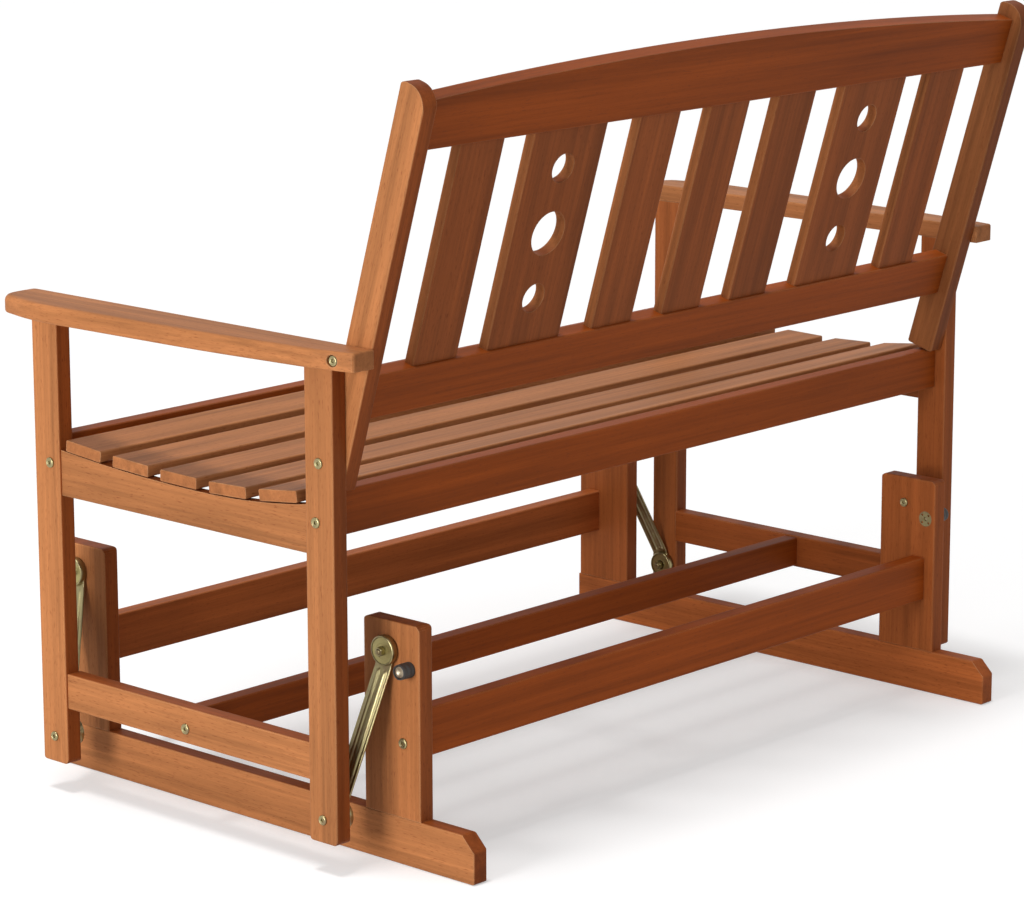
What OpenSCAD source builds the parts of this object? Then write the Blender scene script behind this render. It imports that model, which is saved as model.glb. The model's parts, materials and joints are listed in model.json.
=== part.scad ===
// Two-seat outdoor glider: a slatted wooden bench hung from a sled base by four swing links.
// The front faces -Y and +Z is up. The origin is on the floor, under the middle of the sled base.
// Left and right are the sitter's, so left is +X. Sizes in millimetres.

/* [Seat frame] */
// width over the outer faces of the legs
frame_width = 1176; // [900:1:1800]
// depth from the front of the front legs to the rear of the rear legs
seat_depth = 514; // [430:1:640]
// height of the lowest point of the dished seat
seat_height = 437; // [390:1:480]
// height of the top of the armrests
arm_height = 622; // [560:1:700]
// gap between the floor and the feet of the legs
ground_clearance = 37; // [20:1:80]
// thickness of the main boards
board = 22; // [18:0.5:32]
// depth of the legs, front to rear
leg_depth = 45; // [36:1:70]
// radius of the softened long edges
edge = 2; // [0.5:0.5:4]
// radius of the corners of the feet and of the uprights
corner = 7; // [2:0.5:14]

/* [Seat] */
// number of seat slats
seat_slats = 5; // [3:1:8]
// width of a seat slat, front to rear
seat_slat_width = 62; // [40:1:90]
// thickness of the seat and back slats
slat_thickness = 14; // [10:0.5:22]
// from the front of the legs to the first slat
slats_front = 58.7; // [50:0.1:80]
// from the last slat to the rear of the legs
slats_rear = 59.6; // [50:0.1:80]
// where the dish is lowest, as a share of the seat depth
dish_low = 0.584; // [0.4:0.002:0.7]
// radius of the dish in front of its lowest point
dish_front_radius = 2565; // [1500:5:6000]
// radius of the dish behind its lowest point
dish_rear_radius = 1046; // [700:2:4000]
// height of the front and rear seat rails
seat_rail_height = 53; // [40:1:80]
// height of the seat rails above the lowest point of the seat
seat_rail_rise = 13; // [0:0.5:30]
// setback of the seat rails from the faces of the legs
seat_rail_setback = 17; // [8:0.5:25]
// thickness of the side aprons
apron_thickness = 14; // [12:0.5:20]
// depth of the aprons below the lowest point of the seat
apron_drop = 60; // [45:1:90]
// gap between the aprons and the undersides of the slats
apron_gap = 2.5; // [1:0.5:15]
// setback of the aprons and side stretchers from the outer faces of the legs
side_setback = 3; // [1:0.5:6]
// place of the outer bearers, from the middle of the seat
bearer_spread = 430; // [250:1:520]
// height of the side stretchers
stretcher_height = 44.5; // [30:0.5:70]
// height of the side stretchers above the feet
stretcher_rise = 71; // [60:1:140]

/* [Back] */
// lean of the back from the vertical, in degrees
back_lean = 16.5; // [8:0.5:24]
// length of the back posts
post_length = 486.5; // [400:1:620]
// width of the back posts, front to rear
post_width = 41; // [38:1:60]
// radius of the rear shoulder of the post tops
post_shoulder = 26; // [10:1:28]
// radius of the front corner of the post tops
post_nose = 8; // [2:1:9]
// how far the posts reach below their reference point
post_foot = 43; // [35:1:43]
// height of that point above the lowest point of the seat
post_rise = 53; // [50:1:80]
// how far the rear of the posts stands behind the legs at that point
post_set = 4; // [0:0.5:15]
// setback of the two back rails from the rear of the posts
back_rail_setback = 15; // [4:0.5:17]
// height of the lower back rail above that point, along the post
lower_rail_start = 37.2; // [20:0.1:80]
// height of the lower back rail
lower_rail_height = 55.4; // [40:0.1:90]
// free length of the back slats between the rails
back_slat_length = 272.9; // [180:0.1:380]
// height of the crest rail at its ends
crest_end_height = 59.8; // [40:0.1:90]
// rise of the arched top of the crest rail over its ends
crest_arch = 21.6; // [0:0.1:40]
// width of the narrow back slats
narrow_slat = 73; // [50:0.5:100]
// width of the two wide back slats
wide_slat = 125.5; // [90:0.5:160]
// places of the back slats, as shares of the half width between the posts
slat_places = [0, 0.236, 0.524, 0.798];
// diameter of the upper and lower holes in a wide slat
small_hole = 36.5; // [20:0.5:45]
// diameter of the middle hole in a wide slat
large_hole = 55; // [30:0.5:70]
// distance between the holes of a wide slat
hole_pitch = 82; // [60:0.5:110]
// how far the holes sit above the middle of the slat
hole_lift = 3.5; // [0:0.5:10]

/* [Armrests] */
// overhang of the armrests outside the legs, where they are widest
arm_overhang = 47.5; // [20:0.5:70]
// overhang of the armrests in front of the legs
arm_front = 15; // [4:1:60]
// further reach of the bowed front edge in its middle
arm_bow = 3; // [0.5:0.5:12]
// length of the armrests behind the legs
arm_rear = 46; // [46:1:80]
// width of the armrests at the rear end
arm_end_width = 33.5; // [30:0.5:60]
// how much narrower the armrests are at their front edge
arm_front_taper = 17.5; // [4:0.5:24]
// how much narrower the armrests are where the rear end turns in
arm_rear_taper = 23.5; // [4:0.5:30]
// length of the turned in rear end
arm_turn = 54.5; // [20:0.5:90]
// radius of the outer front corners
arm_corner = 20; // [6:1:30]

/* [Base] */
// free width between an upright and a leg, where the links swing
swing_gap = 63; // [50:0.5:90]
// height of the sled rails
sled_height = 57; // [40:1:80]
// reach of the sled rails in front of the front uprights
sled_front = 3; // [0:0.5:80]
// reach of the sled rails behind the rear uprights
sled_rear = 84.5; // [40:0.5:160]
// clipped rear corner of the sled rails
sled_clip = 18.5; // [5:0.5:30]
// width of the uprights, front to rear
upright_width = 89.5; // [70:0.5:120]
// height of the uprights above the upper pivots
upright_top = 35; // [28:0.5:60]
// place of the upper pivots, from the front edge of the uprights
pivot_inset = 38.8; // [30:0.1:50]
// height of the base rails
base_rail_height = 58; // [40:1:80]
// height of the underside of the base rails
base_rail_z = 127; // [75:1:150]
// place of the front base rail, from the front edge of the uprights
front_rail_place = 25.5; // [14:0.5:30]
// place of the rear base rail, from the front edge of the uprights
rear_rail_place = 63; // [54:0.5:72]

/* [Swing links] */
// distance between the two pivots of a link
link_length = 191.5; // [150:0.5:260]
// how far the lower ends of the front links stand behind their upper ends
front_lean = 48.7; // [20:0.1:80]
// how far the lower ends of the rear links stand in front of their upper ends
rear_lean = 22.3; // [0:0.1:60]
// height of the rear lower pivots above the feet
foot_rise = 28.2; // [20:0.1:40]
// width of the arm of a link
link_width = 25; // [18:0.5:34]
// thickness of the link plate
link_plate = 3; // [2:0.25:5]
// diameter of the bearing cups
cup_diameter = 36; // [28:0.5:44]
// depth of the bearing cups, plate included
cup_depth = 8; // [6:0.5:14]
// wall of the bearing cups
cup_wall = 2; // [1.5:0.25:4]
// diameter of the bearing hubs, which pass the link plate
hub_diameter = 17.6; // [14:0.1:20]
// radius of the two beads pressed into the arm of a link
bead_radius = 3.6; // [2:0.1:4]
// height of the beads above the plate
bead_rise = 1.8; // [0.8:0.1:1.9]
// place of the beads beside the middle of the arm
bead_spread = 5.4; // [4.5:0.1:7]
// bend radius of the link plate
link_bend = 9; // [4:0.5:20]
// free space between the link plate and the wood
stand_off = 2; // [1:0.25:4]
// diameter of the pivot bolts
pivot_bolt = 6; // [5:0.5:8]
// diameter of the heads of the pivot bolts, and of their nuts over the corners
pivot_head = 12; // [10.5:0.5:18]
// thickness of the pivot nuts
pivot_nut_height = 6; // [4:0.5:9]
// running clearance of the bearings on the bolts, on the radius
running = 0.06; // [0.02:0.01:0.1]
// play of the front lower eyes on their bolts, on the radius
front_play = 3.4; // [3:0.1:3.8]

/* [Fasteners] */
// diameter of the connector bolts
bolt = 6; // [5:0.5:8]
// length of the connector bolts under the head
bolt_length = 42; // [38:1:60]
// diameter of the heads of the connector bolts
bolt_head = 13; // [11:0.5:18]
// thickness of the heads of the connector bolts
head_thickness = 2.4; // [2.2:0.1:4]
// length of the screws that hold the sled rails to the uprights
sled_screw_length = 62; // [50:1:80]
// diameter of the barrel nuts
barrel = 10; // [8:0.5:12]
// clearance around bolts, nuts and tenons, on each side
clearance = 0.15; // [0.1:0.05:0.3]
// length of the tenons
tenon = 12; // [8:0.5:14]
// shoulders of the tenons, top and bottom
shoulder = 8; // [4:0.5:9]
// diameter of the slat screws
screw = 4; // [3:0.5:5]
// length of the slat screws
screw_length = 30; // [24:1:34]
// how far the slat screws reach into the slats
screw_bite = 8; // [5:0.5:9]
// diameter of the rubber bumpers
bumper_diameter = 17; // [16:0.5:26]
// length of the rubber bumpers
bumper_length = 18.5; // [12:0.5:28]
// height of the bumpers below the upper pivots
bumper_drop = 17.5; // [10:0.5:30]
// place of the bumpers behind the upper pivots of the rear uprights
bumper_place = 35.2; // [25:0.1:40]
// depth of the screw recess in the end of a bumper
bumper_recess = 4; // [2:0.5:8]
// diameter of the bumper screws
bumper_screw = 5; // [4:0.5:5.5]
// diameter of the flange of the tee nuts
tee_flange = 20; // [16:0.5:26]

/* [Hidden] */

wood = [0.48, 0.24, 0.15];
zinc = [0.72, 0.66, 0.42];
steel = [0.62, 0.60, 0.55];
rubber = [0.16, 0.15, 0.14];
steps = 4;

// places across the width
leg_out = frame_width / 2;
leg_in = leg_out - board;
post_in = leg_in - board;
base_out = leg_in - swing_gap;
base_in = base_out - board;
side_out = leg_out - side_setback;

// places front to rear
leg_span = seat_depth - leg_depth;
pivot_span = leg_span + front_lean + rear_lean;
sled_length = sled_front + pivot_span + upright_width + sled_rear;
front_upright_y = sled_front - sled_length / 2;
front_pivot_y = front_upright_y + pivot_inset;
rear_pivot_y = front_pivot_y + pivot_span;
rear_upright_y = rear_pivot_y - pivot_inset;
front_leg_y = front_pivot_y + front_lean - leg_depth / 2;
rear_leg_y = front_leg_y + leg_span;
seat_back_y = rear_leg_y + leg_depth;
rail_front_y = front_leg_y + seat_rail_setback;
rail_rear_y = seat_back_y - seat_rail_setback - board;

// heights
rear_foot_z = ground_clearance + foot_rise;
pivot_z = rear_foot_z + sqrt(link_length * link_length - rear_lean * rear_lean);
front_foot_z = pivot_z - sqrt(link_length * link_length - front_lean * front_lean);
upright_z = pivot_z + upright_top;
arm_under = arm_height - board;
seat_rail_top = seat_height + seat_rail_rise;
seat_rail_z = seat_rail_top - seat_rail_height;
stretcher_z = ground_clearance + stretcher_rise;
front_link_turn = asin(front_lean / link_length);
rear_link_turn = -asin(rear_lean / link_length);

// the back, along the post
back_bottom = lower_rail_start + lower_rail_height;
back_top = back_bottom + back_slat_length;
rail_face = -back_rail_setback;
slat_face = rail_face - (board - slat_thickness) / 2;
arm_z = arm_height - board / 2;
arm_bolt_s = (arm_z - seat_height - post_rise - post_width / 2 * sin(back_lean)) / cos(back_lean);
arm_bolt_y = seat_back_y + post_set + arm_bolt_s * sin(back_lean)
  - post_width / 2 * cos(back_lean);

// the armrests, in plan
arm_outer = leg_out + arm_overhang;
arm_front_y = front_leg_y - arm_front;
arm_rear_y = seat_back_y + arm_rear;
arm_bolt_face = leg_in + arm_end_width
  + (arm_outer - arm_rear_taper - leg_in - arm_end_width) * (arm_rear_y - arm_bolt_y) / arm_turn;
arm_bolt_x = arm_bolt_face - head_thickness - 0.6;
arm_bolt_length = arm_bolt_x - post_in - 5;

// fasteners
shank = bolt / 2;
bolt_hole = shank + clearance;
barrel_hole = barrel / 2 + clearance;
barrel_inset = bolt_length - board - 6;
barrel_length = board - 2;
link_step = swing_gap - 2 * stand_off - link_plate;
link_floor = cup_depth - 0.5;
cup_bore = cup_diameter / 2 - cup_wall;
hub = hub_diameter / 2;
pivot_length = board + stand_off + link_floor + 0.3 + pivot_nut_height + 1.5;
bumper_y = rear_pivot_y + bumper_place;
bumper_z = pivot_z - bumper_drop;
bearer_places = [-bearer_spread, 0, bearer_spread];
rail_bolt_z = seat_rail_z + 19;
front_bolt_y = rail_front_y + board / 2;
rear_bolt_y = rail_rear_y + board / 2;
foot_bolt_z = seat_height + 48.5;
base_bolt_z = base_rail_z + base_rail_height * 0.35;
stretcher_mid_y = rear_leg_y - leg_span * 0.5 + leg_depth * 0.5;
stretcher_bolt_z = stretcher_z + 18;
slat_pitch = (seat_depth - slats_front - slats_rear - seat_slat_width) / (seat_slats - 1);
dish_y = front_leg_y + seat_depth * dish_low;

// a polygon's corner b, between a and c, rounded to radius r
function rounded(a, b, c, r) =
  let (
    u = (a - b) / norm(a - b),
    v = (c - b) / norm(c - b),
    half = acos(u * v) / 2,
    mid = b + (u + v) / norm(u + v) * r / sin(half),
    p = b + u * r / tan(half) - mid,
    q = b + v * r / tan(half) - mid,
    start = atan2(p[1], p[0]),
    sweep = (atan2(q[1], q[0]) - start + 540) % 360 - 180,
    n = r > 12 ? 3 * steps : steps
  )
  [for (i = [0:n]) mid + r * [cos(start + sweep * i / n), sin(start + sweep * i / n)]];

// an outline from corners [x, y, radius]
function outline(p) = [
  for (i = [0:len(p) - 1])
    let (
      a = p[(i + len(p) - 1) % len(p)],
      b = p[i],
      c = p[(i + 1) % len(p)]
    )
    each b[2] == 0
      ? [[b[0], b[1]]]
      : rounded([a[0], a[1]], [b[0], b[1]], [c[0], c[1]], b[2])
];

function box_outline(x0, x1, y0, y1, r) =
  outline([[x0, y0, r], [x1, y0, r], [x1, y1, r], [x0, y1, r]]);

// the dished seat: height and slope of its surface at y
function dish_radius(y) = y < dish_y ? dish_front_radius : dish_rear_radius;
function dish_z(y) = seat_height + dish_radius(y)
  - sqrt(pow(dish_radius(y), 2) - pow(y - dish_y, 2));
function dish_slope(y) = asin((y - dish_y) / dish_radius(y));

// middle of a seat slat, and a point of its section
function slat_y(i) = front_leg_y + slats_front + seat_slat_width / 2 + i * slat_pitch;
function slat_point(i, w, t) =
  let (a = dish_slope(slat_y(i)))
  [slat_y(i) + w * cos(a) - t * sin(a), dish_z(slat_y(i)) + w * sin(a) + t * cos(a)];

module along_x(x0, x1) {
  translate([x0, 0, 0]) rotate([90, 0, 90]) linear_extrude(x1 - x0) children();
}

module along_y(y0, y1) {
  translate([0, y1, 0]) rotate([90, 0, 0]) linear_extrude(y1 - y0) children();
}

module along_z(z0, z1) {
  translate([0, 0, z0]) linear_extrude(z1 - z0) children();
}

module pin_x(x0, x1, y, z, r) {
  translate([x0, y, z]) rotate([0, 90, 0]) cylinder(r = r, h = x1 - x0, $fn = 32);
}

module pin_y(x, y0, y1, z, r) {
  translate([x, y1, z]) rotate([90, 0, 0]) cylinder(r = r, h = y1 - y0, $fn = 32);
}

module both_sides() {
  children();
  mirror([1, 0, 0]) children();
}

module other_side() {
  mirror([1, 0, 0]) children();
}

// the frame of the leaning back: x across, y out of its rear face, z up the post
module back_frame() {
  translate([0, seat_back_y + post_set, seat_height + post_rise]) rotate([-back_lean, 0, 0])
    children();
}

// connector bolt with a dished socket head, its head on the plane x = 0 and its shank towards -x
module connector_bolt(length) {
  r = bolt_head / 2;
  color(zinc) difference() {
    rotate([0, 90, 0]) rotate_extrude($fn = 40) polygon([
      [0, -length],
      [shank - 0.6, -length],
      [shank, -length + 0.8],
      [shank, 0],
      [r, 0],
      [r, head_thickness * 0.35],
      [r - 0.7, head_thickness * 0.8],
      [r - 1.5, head_thickness],
      [r - 2.4, head_thickness],
      [r - 2.8, head_thickness - 0.5],
      [0, head_thickness - 0.5]
    ]);
    rotate([0, 90, 0]) translate([0, 0, head_thickness - 2.1]) cylinder(d = 5, h = 3, $fn = 6);
  }
}

// barrel nut along z, cross-drilled for the bolt
module barrel_nut() {
  color(zinc) difference() {
    translate([0, 0, -barrel_length / 2]) cylinder(d = barrel, h = barrel_length, $fn = 32);
    rotate([0, 90, 0]) cylinder(r = bolt_hole, h = barrel * 2, center = true, $fn = 32);
    translate([-barrel * 0.35, -0.7, barrel_length / 2 - 1.2]) cube([barrel * 0.7, 1.4, 3]);
  }
}

// sled base

module sled_rail() {
  color(wood) difference() {
    intersection() {
      along_x(base_in, base_out) polygon(outline([
        [-sled_length / 2, 0, 1.5],
        [sled_length / 2, 0, 4],
        [sled_length / 2, sled_height - sled_clip, 5],
        [sled_length / 2 - sled_clip, sled_height, 5],
        [-sled_length / 2, sled_height, 1.5]
      ]));
      along_y(-sled_length, sled_length)
        polygon(box_outline(base_in, base_out, 0, sled_height, edge));
      along_z(-1, sled_height + 1) polygon(box_outline(base_in, base_out,
        -sled_length / 2, sled_length / 2, edge));
    }
    for (y = [front_upright_y, rear_upright_y], s = [0.25, 0.75])
      translate([base_out - board / 2, y + upright_width * s, 0]) {
        translate([0, 0, -1]) cylinder(r = bolt_hole, h = sled_height + 2, $fn = 32);
        translate([0, 0, -1]) cylinder(d = bolt_head + 1, h = sled_height - board + 1, $fn = 40);
      }
  }
}

module upright(y, rail_place, bumper) {
  color(wood) difference() {
    intersection() {
      along_x(base_in, base_out) polygon(outline([
        [y, sled_height, 0],
        [y + upright_width, sled_height, 0],
        [y + upright_width, upright_z, corner + 1],
        [y, upright_z, corner + 1]
      ]));
      along_z(sled_height, upright_z + 1)
        polygon(box_outline(base_in, base_out, y, y + upright_width, edge));
      along_y(y - 1, y + upright_width + 1)
        polygon(box_outline(base_in, base_out, sled_height - 10, upright_z, edge));
    }
    pin_x(base_in - 1, base_out + 1, y + pivot_inset, pivot_z, pivot_bolt / 2 + clearance);
    pin_x(base_in - 1, base_out + 1, y + rail_place, base_bolt_z, bolt_hole);
    if (bumper) {
      pin_x(base_in - 1, base_out + 1, bumper_y, bumper_z, bumper_screw / 2 + 1.2);
      pin_x(base_in - 1, base_in + 2, bumper_y, bumper_z, tee_flange / 2 + clearance);
    }
    for (s = [0.25, 0.75])
      translate([base_out - board / 2, y + upright_width * s, sled_height - 1])
        cylinder(r = bolt_hole, h = sled_screw_length - board + 2, $fn = 32);
  }
}

module base_rail(y) {
  color(wood) difference() {
    along_x(-base_in, base_in) polygon(box_outline(y - board / 2, y + board / 2,
      base_rail_z, base_rail_z + base_rail_height, edge));
    both_sides() {
      pin_x(base_in - bolt_length + board - 1, base_in + 1, y, base_bolt_z, bolt_hole);
      translate([base_in - barrel_inset, y, base_rail_z - 1])
        cylinder(r = barrel_hole, h = base_bolt_z - base_rail_z + 1 + barrel_length / 2,
          $fn = 32);
    }
  }
}

module base_bolts() {
  both_sides()
    for (y = [front_upright_y + front_rail_place, rear_upright_y + rear_rail_place])
      translate([base_out, y, base_bolt_z]) connector_bolt(bolt_length);
}

module base_barrel_nuts() {
  both_sides()
    for (y = [front_upright_y + front_rail_place, rear_upright_y + rear_rail_place])
      translate([base_in - barrel_inset, y, base_bolt_z]) barrel_nut();
}

// pointed screws from below, with cylindrical socket heads
module sled_screws() {
  r = bolt_head / 2 - 0.5;
  color(zinc) both_sides()
    for (y = [front_upright_y, rear_upright_y], s = [0.25, 0.75])
      translate([base_out - board / 2, y + upright_width * s, sled_height - board])
        difference() {
          rotate_extrude($fn = 32) polygon([
            [0, -4],
            [r - 0.6, -4],
            [r, -3.4],
            [r, 0],
            [shank, 0],
            [shank, sled_screw_length - bolt],
            [0.4, sled_screw_length],
            [0, sled_screw_length]
          ]);
          translate([0, 0, -5]) cylinder(d = 5, h = 3.4, $fn = 6);
        }
}

// rubber bumpers on the rear uprights, each with a screw in its end and a tee nut behind

module bumper_place_left() {
  translate([base_out, bumper_y, bumper_z]) rotate([0, 90, 0]) children();
}

module bumpers() {
  hole = bumper_screw / 2 + 0.4;
  color(rubber) both_sides() bumper_place_left() rotate_extrude($fn = 48) polygon(outline([
    [hole, 0, 0],
    [bumper_diameter / 2, 0, 0.6],
    [bumper_diameter / 2, bumper_length, 1.8],
    [bumper_screw + 0.6, bumper_length, 0],
    [bumper_screw + 0.6, bumper_length - bumper_recess, 0],
    [hole, bumper_length - bumper_recess, 0]
  ]));
}

module bumper_screws() {
  r = bumper_screw / 2;
  seat = bumper_length - bumper_recess;
  color(zinc) both_sides() bumper_place_left() difference() {
    rotate_extrude($fn = 40) polygon([
      [0, 3 - board],
      [r, 3 - board],
      [r, seat],
      [2 * r, seat],
      [2 * r, seat + 1],
      [2 * r - 1, seat + 1],
      [2 * r - 1.4, seat + 2.2],
      [r + 0.2, seat + 3],
      [0, seat + 3]
    ]);
    translate([0, 0, seat + 1.4]) cylinder(d = 3.2, h = 3, $fn = 6);
  }
}

module bumper_nuts() {
  r = bumper_screw / 2 + 0.2;
  color(zinc) both_sides() translate([0.2 - board, 0, 0]) bumper_place_left() difference() {
    rotate_extrude($fn = 48) polygon([
      [r, 0],
      [tee_flange / 2, 0],
      [tee_flange / 2, 1.8],
      [r + 0.8, 1.8],
      [r + 0.8, board / 2],
      [r, board / 2]
    ]);
    for (a = [45:90:360])
      rotate(a) translate([tee_flange * 0.36, 0, -1]) cylinder(d = 3, h = 4, $fn = 20);
  }
}

// swing links

// the bent section of a link in x, z, shifted by dx; it steps out by link_step between the cups
function link_line(dx) =
  let (
    flat = cup_diameter / 2,
    a = [dx, flat],
    b = [dx, -flat],
    c = [dx + link_step, flat - link_length],
    d = [dx + link_step, -flat - link_length]
  )
  [a, each rounded(a, b, c, link_bend), each rounded(b, c, d, link_bend), d];

module link_section(dx, t) {
  line = link_line(dx);
  polygon([
    each line,
    for (i = [len(line) - 1:-1:0]) line[i] + [t, 0]
  ]);
}

module cup() {
  rotate([0, 90, 0]) rotate_extrude($fn = 64) polygon(outline([
    [cup_bore, 0, 0],
    [cup_diameter / 2, 0, 0.8],
    [cup_diameter / 2, cup_depth, cup_wall * 0.45],
    [cup_bore, cup_depth, cup_wall * 0.2]
  ]));
}

// a pressed bead: half sunk in the slanted arm, its ends rounded
module bead(place) {
  reach = cup_diameter / 2;
  fall = link_length - 2 * reach;
  length = norm([link_step, fall]);
  translate([link_plate, place, -reach]) rotate([0, -atan(link_step / fall), 0])
    intersection() {
      translate([bead_rise - bead_radius, 0, 0]) {
        translate([0, 0, 9 - length]) cylinder(r = bead_radius, h = length - 18, $fn = 32);
        translate([0, 0, -9]) sphere(r = bead_radius, $fn = 32);
        translate([0, 0, 9 - length]) sphere(r = bead_radius, $fn = 32);
      }
      translate([-1, -bead_radius - 1, -length]) cube([8, 2 * bead_radius + 2, length]);
    }
}

// one link in its own frame: upper pivot at the origin, x away from the upright, z up
module link_body() {
  reach = cup_diameter / 2;
  color(zinc) difference() {
    union() {
      intersection() {
        along_y(-reach - 1, reach + 1) link_section(0, link_plate);
        union() {
          pin_x(-1, link_plate + 1, 0, 0, reach);
          pin_x(link_step - 1, link_step + link_plate + 1, 0, -link_length, reach);
          translate([-5, -link_width / 2, -link_length + 8])
            cube([link_step + 20, link_width, link_length - 16]);
        }
      }
      bead(-bead_spread);
      bead(bead_spread);
      cup();
      translate([link_step + link_plate, 0, -link_length]) rotate([0, 0, 180]) cup();
    }
    pin_x(-1, cup_depth, 0, 0, hub + 0.2);
    pin_x(link_step + link_plate - cup_depth, link_step + link_plate + 1, 0, -link_length,
      hub + 0.2);
    pin_x(link_plate, cup_depth + 1, 0, 0, cup_bore - 0.1);
    pin_x(link_step - cup_depth + link_plate - 1, link_step, 0, -link_length, cup_bore - 0.1);
  }
}

// flanged bearing in a cup, hub towards the wood, with its own bore radius
module bearing(bore) {
  color(steel) rotate([0, 90, 0]) rotate_extrude($fn = 64) polygon([
    [bore, 0.3 - stand_off],
    [hub - 0.2, 0.3 - stand_off],
    [hub, 0.5 - stand_off],
    [hub, link_plate],
    [cup_bore - 0.3, link_plate],
    [cup_bore - 0.3, link_floor - 0.5],
    [cup_bore - 0.8, link_floor],
    [bore, link_floor]
  ]);
}

module front_place() {
  translate([base_out + stand_off, front_pivot_y, pivot_z]) rotate([front_link_turn, 0, 0])
    children();
}

module rear_place() {
  translate([base_out + stand_off, rear_pivot_y, pivot_z]) rotate([rear_link_turn, 0, 0])
    children();
}

module bearing_pair(lower_bore) {
  bearing(pivot_bolt / 2 + running);
  translate([link_step + link_plate, 0, -link_length]) rotate([0, 0, 180]) bearing(lower_bore);
}

// pivot bolt from its head at x = 0 towards -x, and its hexagon nut
module pivot_bolt_body() {
  r = pivot_head / 2;
  color(zinc) difference() {
    rotate([0, 90, 0]) rotate_extrude($fn = 48) polygon([
      [0, -pivot_length],
      [pivot_bolt / 2 - 0.8, -pivot_length],
      [pivot_bolt / 2, -pivot_length + 1],
      [pivot_bolt / 2, 0],
      [r, 0],
      [r, 1],
      [r - 0.8, 2.4],
      [r - 1.8, 2.8],
      [0, 2.8]
    ]);
    rotate([0, 90, 0]) translate([0, 0, 0.8]) cylinder(d = 4.6, h = 3, $fn = 6);
  }
}

module pivot_nut() {
  color(zinc) difference() {
    rotate([0, -90, 0]) cylinder(d = pivot_head, h = pivot_nut_height, $fn = 6);
    pin_x(-pivot_nut_height - 1, 1, 0, 0, pivot_bolt / 2 + clearance);
  }
}

module upper_pivot_bolts() {
  both_sides() for (y = [front_pivot_y, rear_pivot_y])
    translate([base_in, y, pivot_z]) rotate([0, 0, 180]) pivot_bolt_body();
}

module upper_pivot_nuts() {
  both_sides() for (y = [front_pivot_y, rear_pivot_y])
    translate([base_out + stand_off + link_floor + 0.3, y, pivot_z]) rotate([0, 0, 180])
      pivot_nut();
}

module lower_pivot_bolts() {
  both_sides() for (p = [[front_leg_y, front_foot_z], [rear_leg_y, rear_foot_z]])
    translate([leg_out, p[0] + leg_depth / 2, p[1]]) pivot_bolt_body();
}

module lower_pivot_nuts() {
  both_sides() for (p = [[front_leg_y, front_foot_z], [rear_leg_y, rear_foot_z]])
    translate([leg_in - stand_off - link_floor - 0.3, p[0] + leg_depth / 2, p[1]]) pivot_nut();
}

// seat frame

module leg(y, foot, bolt_y, inner) {
  color(wood) difference() {
    union() {
      intersection() {
        along_x(leg_in, leg_out) polygon(outline([
          [y, ground_clearance, corner],
          [y + leg_depth, ground_clearance, corner],
          [y + leg_depth, arm_under, 0],
          [y, arm_under, 0]
        ]));
        along_z(ground_clearance, arm_under)
          polygon(box_outline(leg_in, leg_out, y, y + leg_depth, edge));
        along_y(y - 1, y + leg_depth + 1)
          polygon(box_outline(leg_in, leg_out, ground_clearance, arm_under + 20, edge));
      }
      along_z(arm_under - 1, arm_under + tenon - 1)
        polygon(box_outline(leg_in + 6, leg_out - 6, y + shoulder, y + leg_depth - shoulder, 2));
    }
    pin_x(leg_in - 1, leg_out + 1, y + leg_depth / 2, foot, pivot_bolt / 2 + clearance);
    pin_x(leg_in - 1, leg_out + 1, bolt_y, rail_bolt_z, bolt_hole);
    side_tenons(clearance, inner);
  }
}

// tenons of the aprons and side stretchers, let into the legs
module side_tenons(gap, inner) {
  y0 = inner > 0 ? front_leg_y + leg_depth - tenon - gap : rear_leg_y - 1;
  y1 = inner > 0 ? front_leg_y + leg_depth + 1 : rear_leg_y + tenon + gap;
  along_y(y0, y1) polygon(box_outline(side_out - apron_thickness + 3 - gap, side_out - 3 + gap,
    seat_height - apron_drop + 7 - gap, seat_height - apron_drop + 25 + gap, 0.5));
  along_y(y0, y1) polygon(box_outline(side_out - 15 - gap, side_out - 5 + gap,
    stretcher_z + shoulder - gap, stretcher_z + stretcher_height - shoulder + gap, 0.5));
}

module front_leg() {
  leg(front_leg_y, front_foot_z, front_bolt_y, 1);
}

module rear_leg() {
  difference() {
    leg(rear_leg_y, rear_foot_z, rear_bolt_y, -1);
    pin_x(leg_in - 1, leg_out + 1, rear_leg_y + leg_depth / 2, foot_bolt_z, bolt_hole);
  }
}

module apron() {
  y0 = front_leg_y + leg_depth;
  under = slat_thickness + apron_gap;
  color(wood) difference() {
    union() {
      along_x(side_out - apron_thickness, side_out) polygon([
        [y0, seat_height - apron_drop],
        [rear_leg_y, seat_height - apron_drop],
        for (i = [24:-1:0])
          let (y = y0 + (rear_leg_y - y0) * i / 24) [y, dish_z(y) - under]
      ]);
      along_y(y0 - tenon, rear_leg_y + tenon)
        polygon(box_outline(side_out - apron_thickness + 3, side_out - 3,
          seat_height - apron_drop + 7, seat_height - apron_drop + 25, 0.5));
    }
  }
}

module side_stretcher() {
  y0 = front_leg_y + leg_depth;
  color(wood) difference() {
    union() {
      along_y(y0, rear_leg_y) polygon(box_outline(side_out - board, side_out,
        stretcher_z, stretcher_z + stretcher_height, edge));
      along_y(y0 - tenon, rear_leg_y + tenon) polygon(box_outline(side_out - 15, side_out - 5,
        stretcher_z + shoulder, stretcher_z + stretcher_height - shoulder, 0.5));
    }
    pin_x(side_out - board - 1, side_out + 1, stretcher_mid_y, stretcher_bolt_z, bolt_hole);
  }
}

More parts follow.
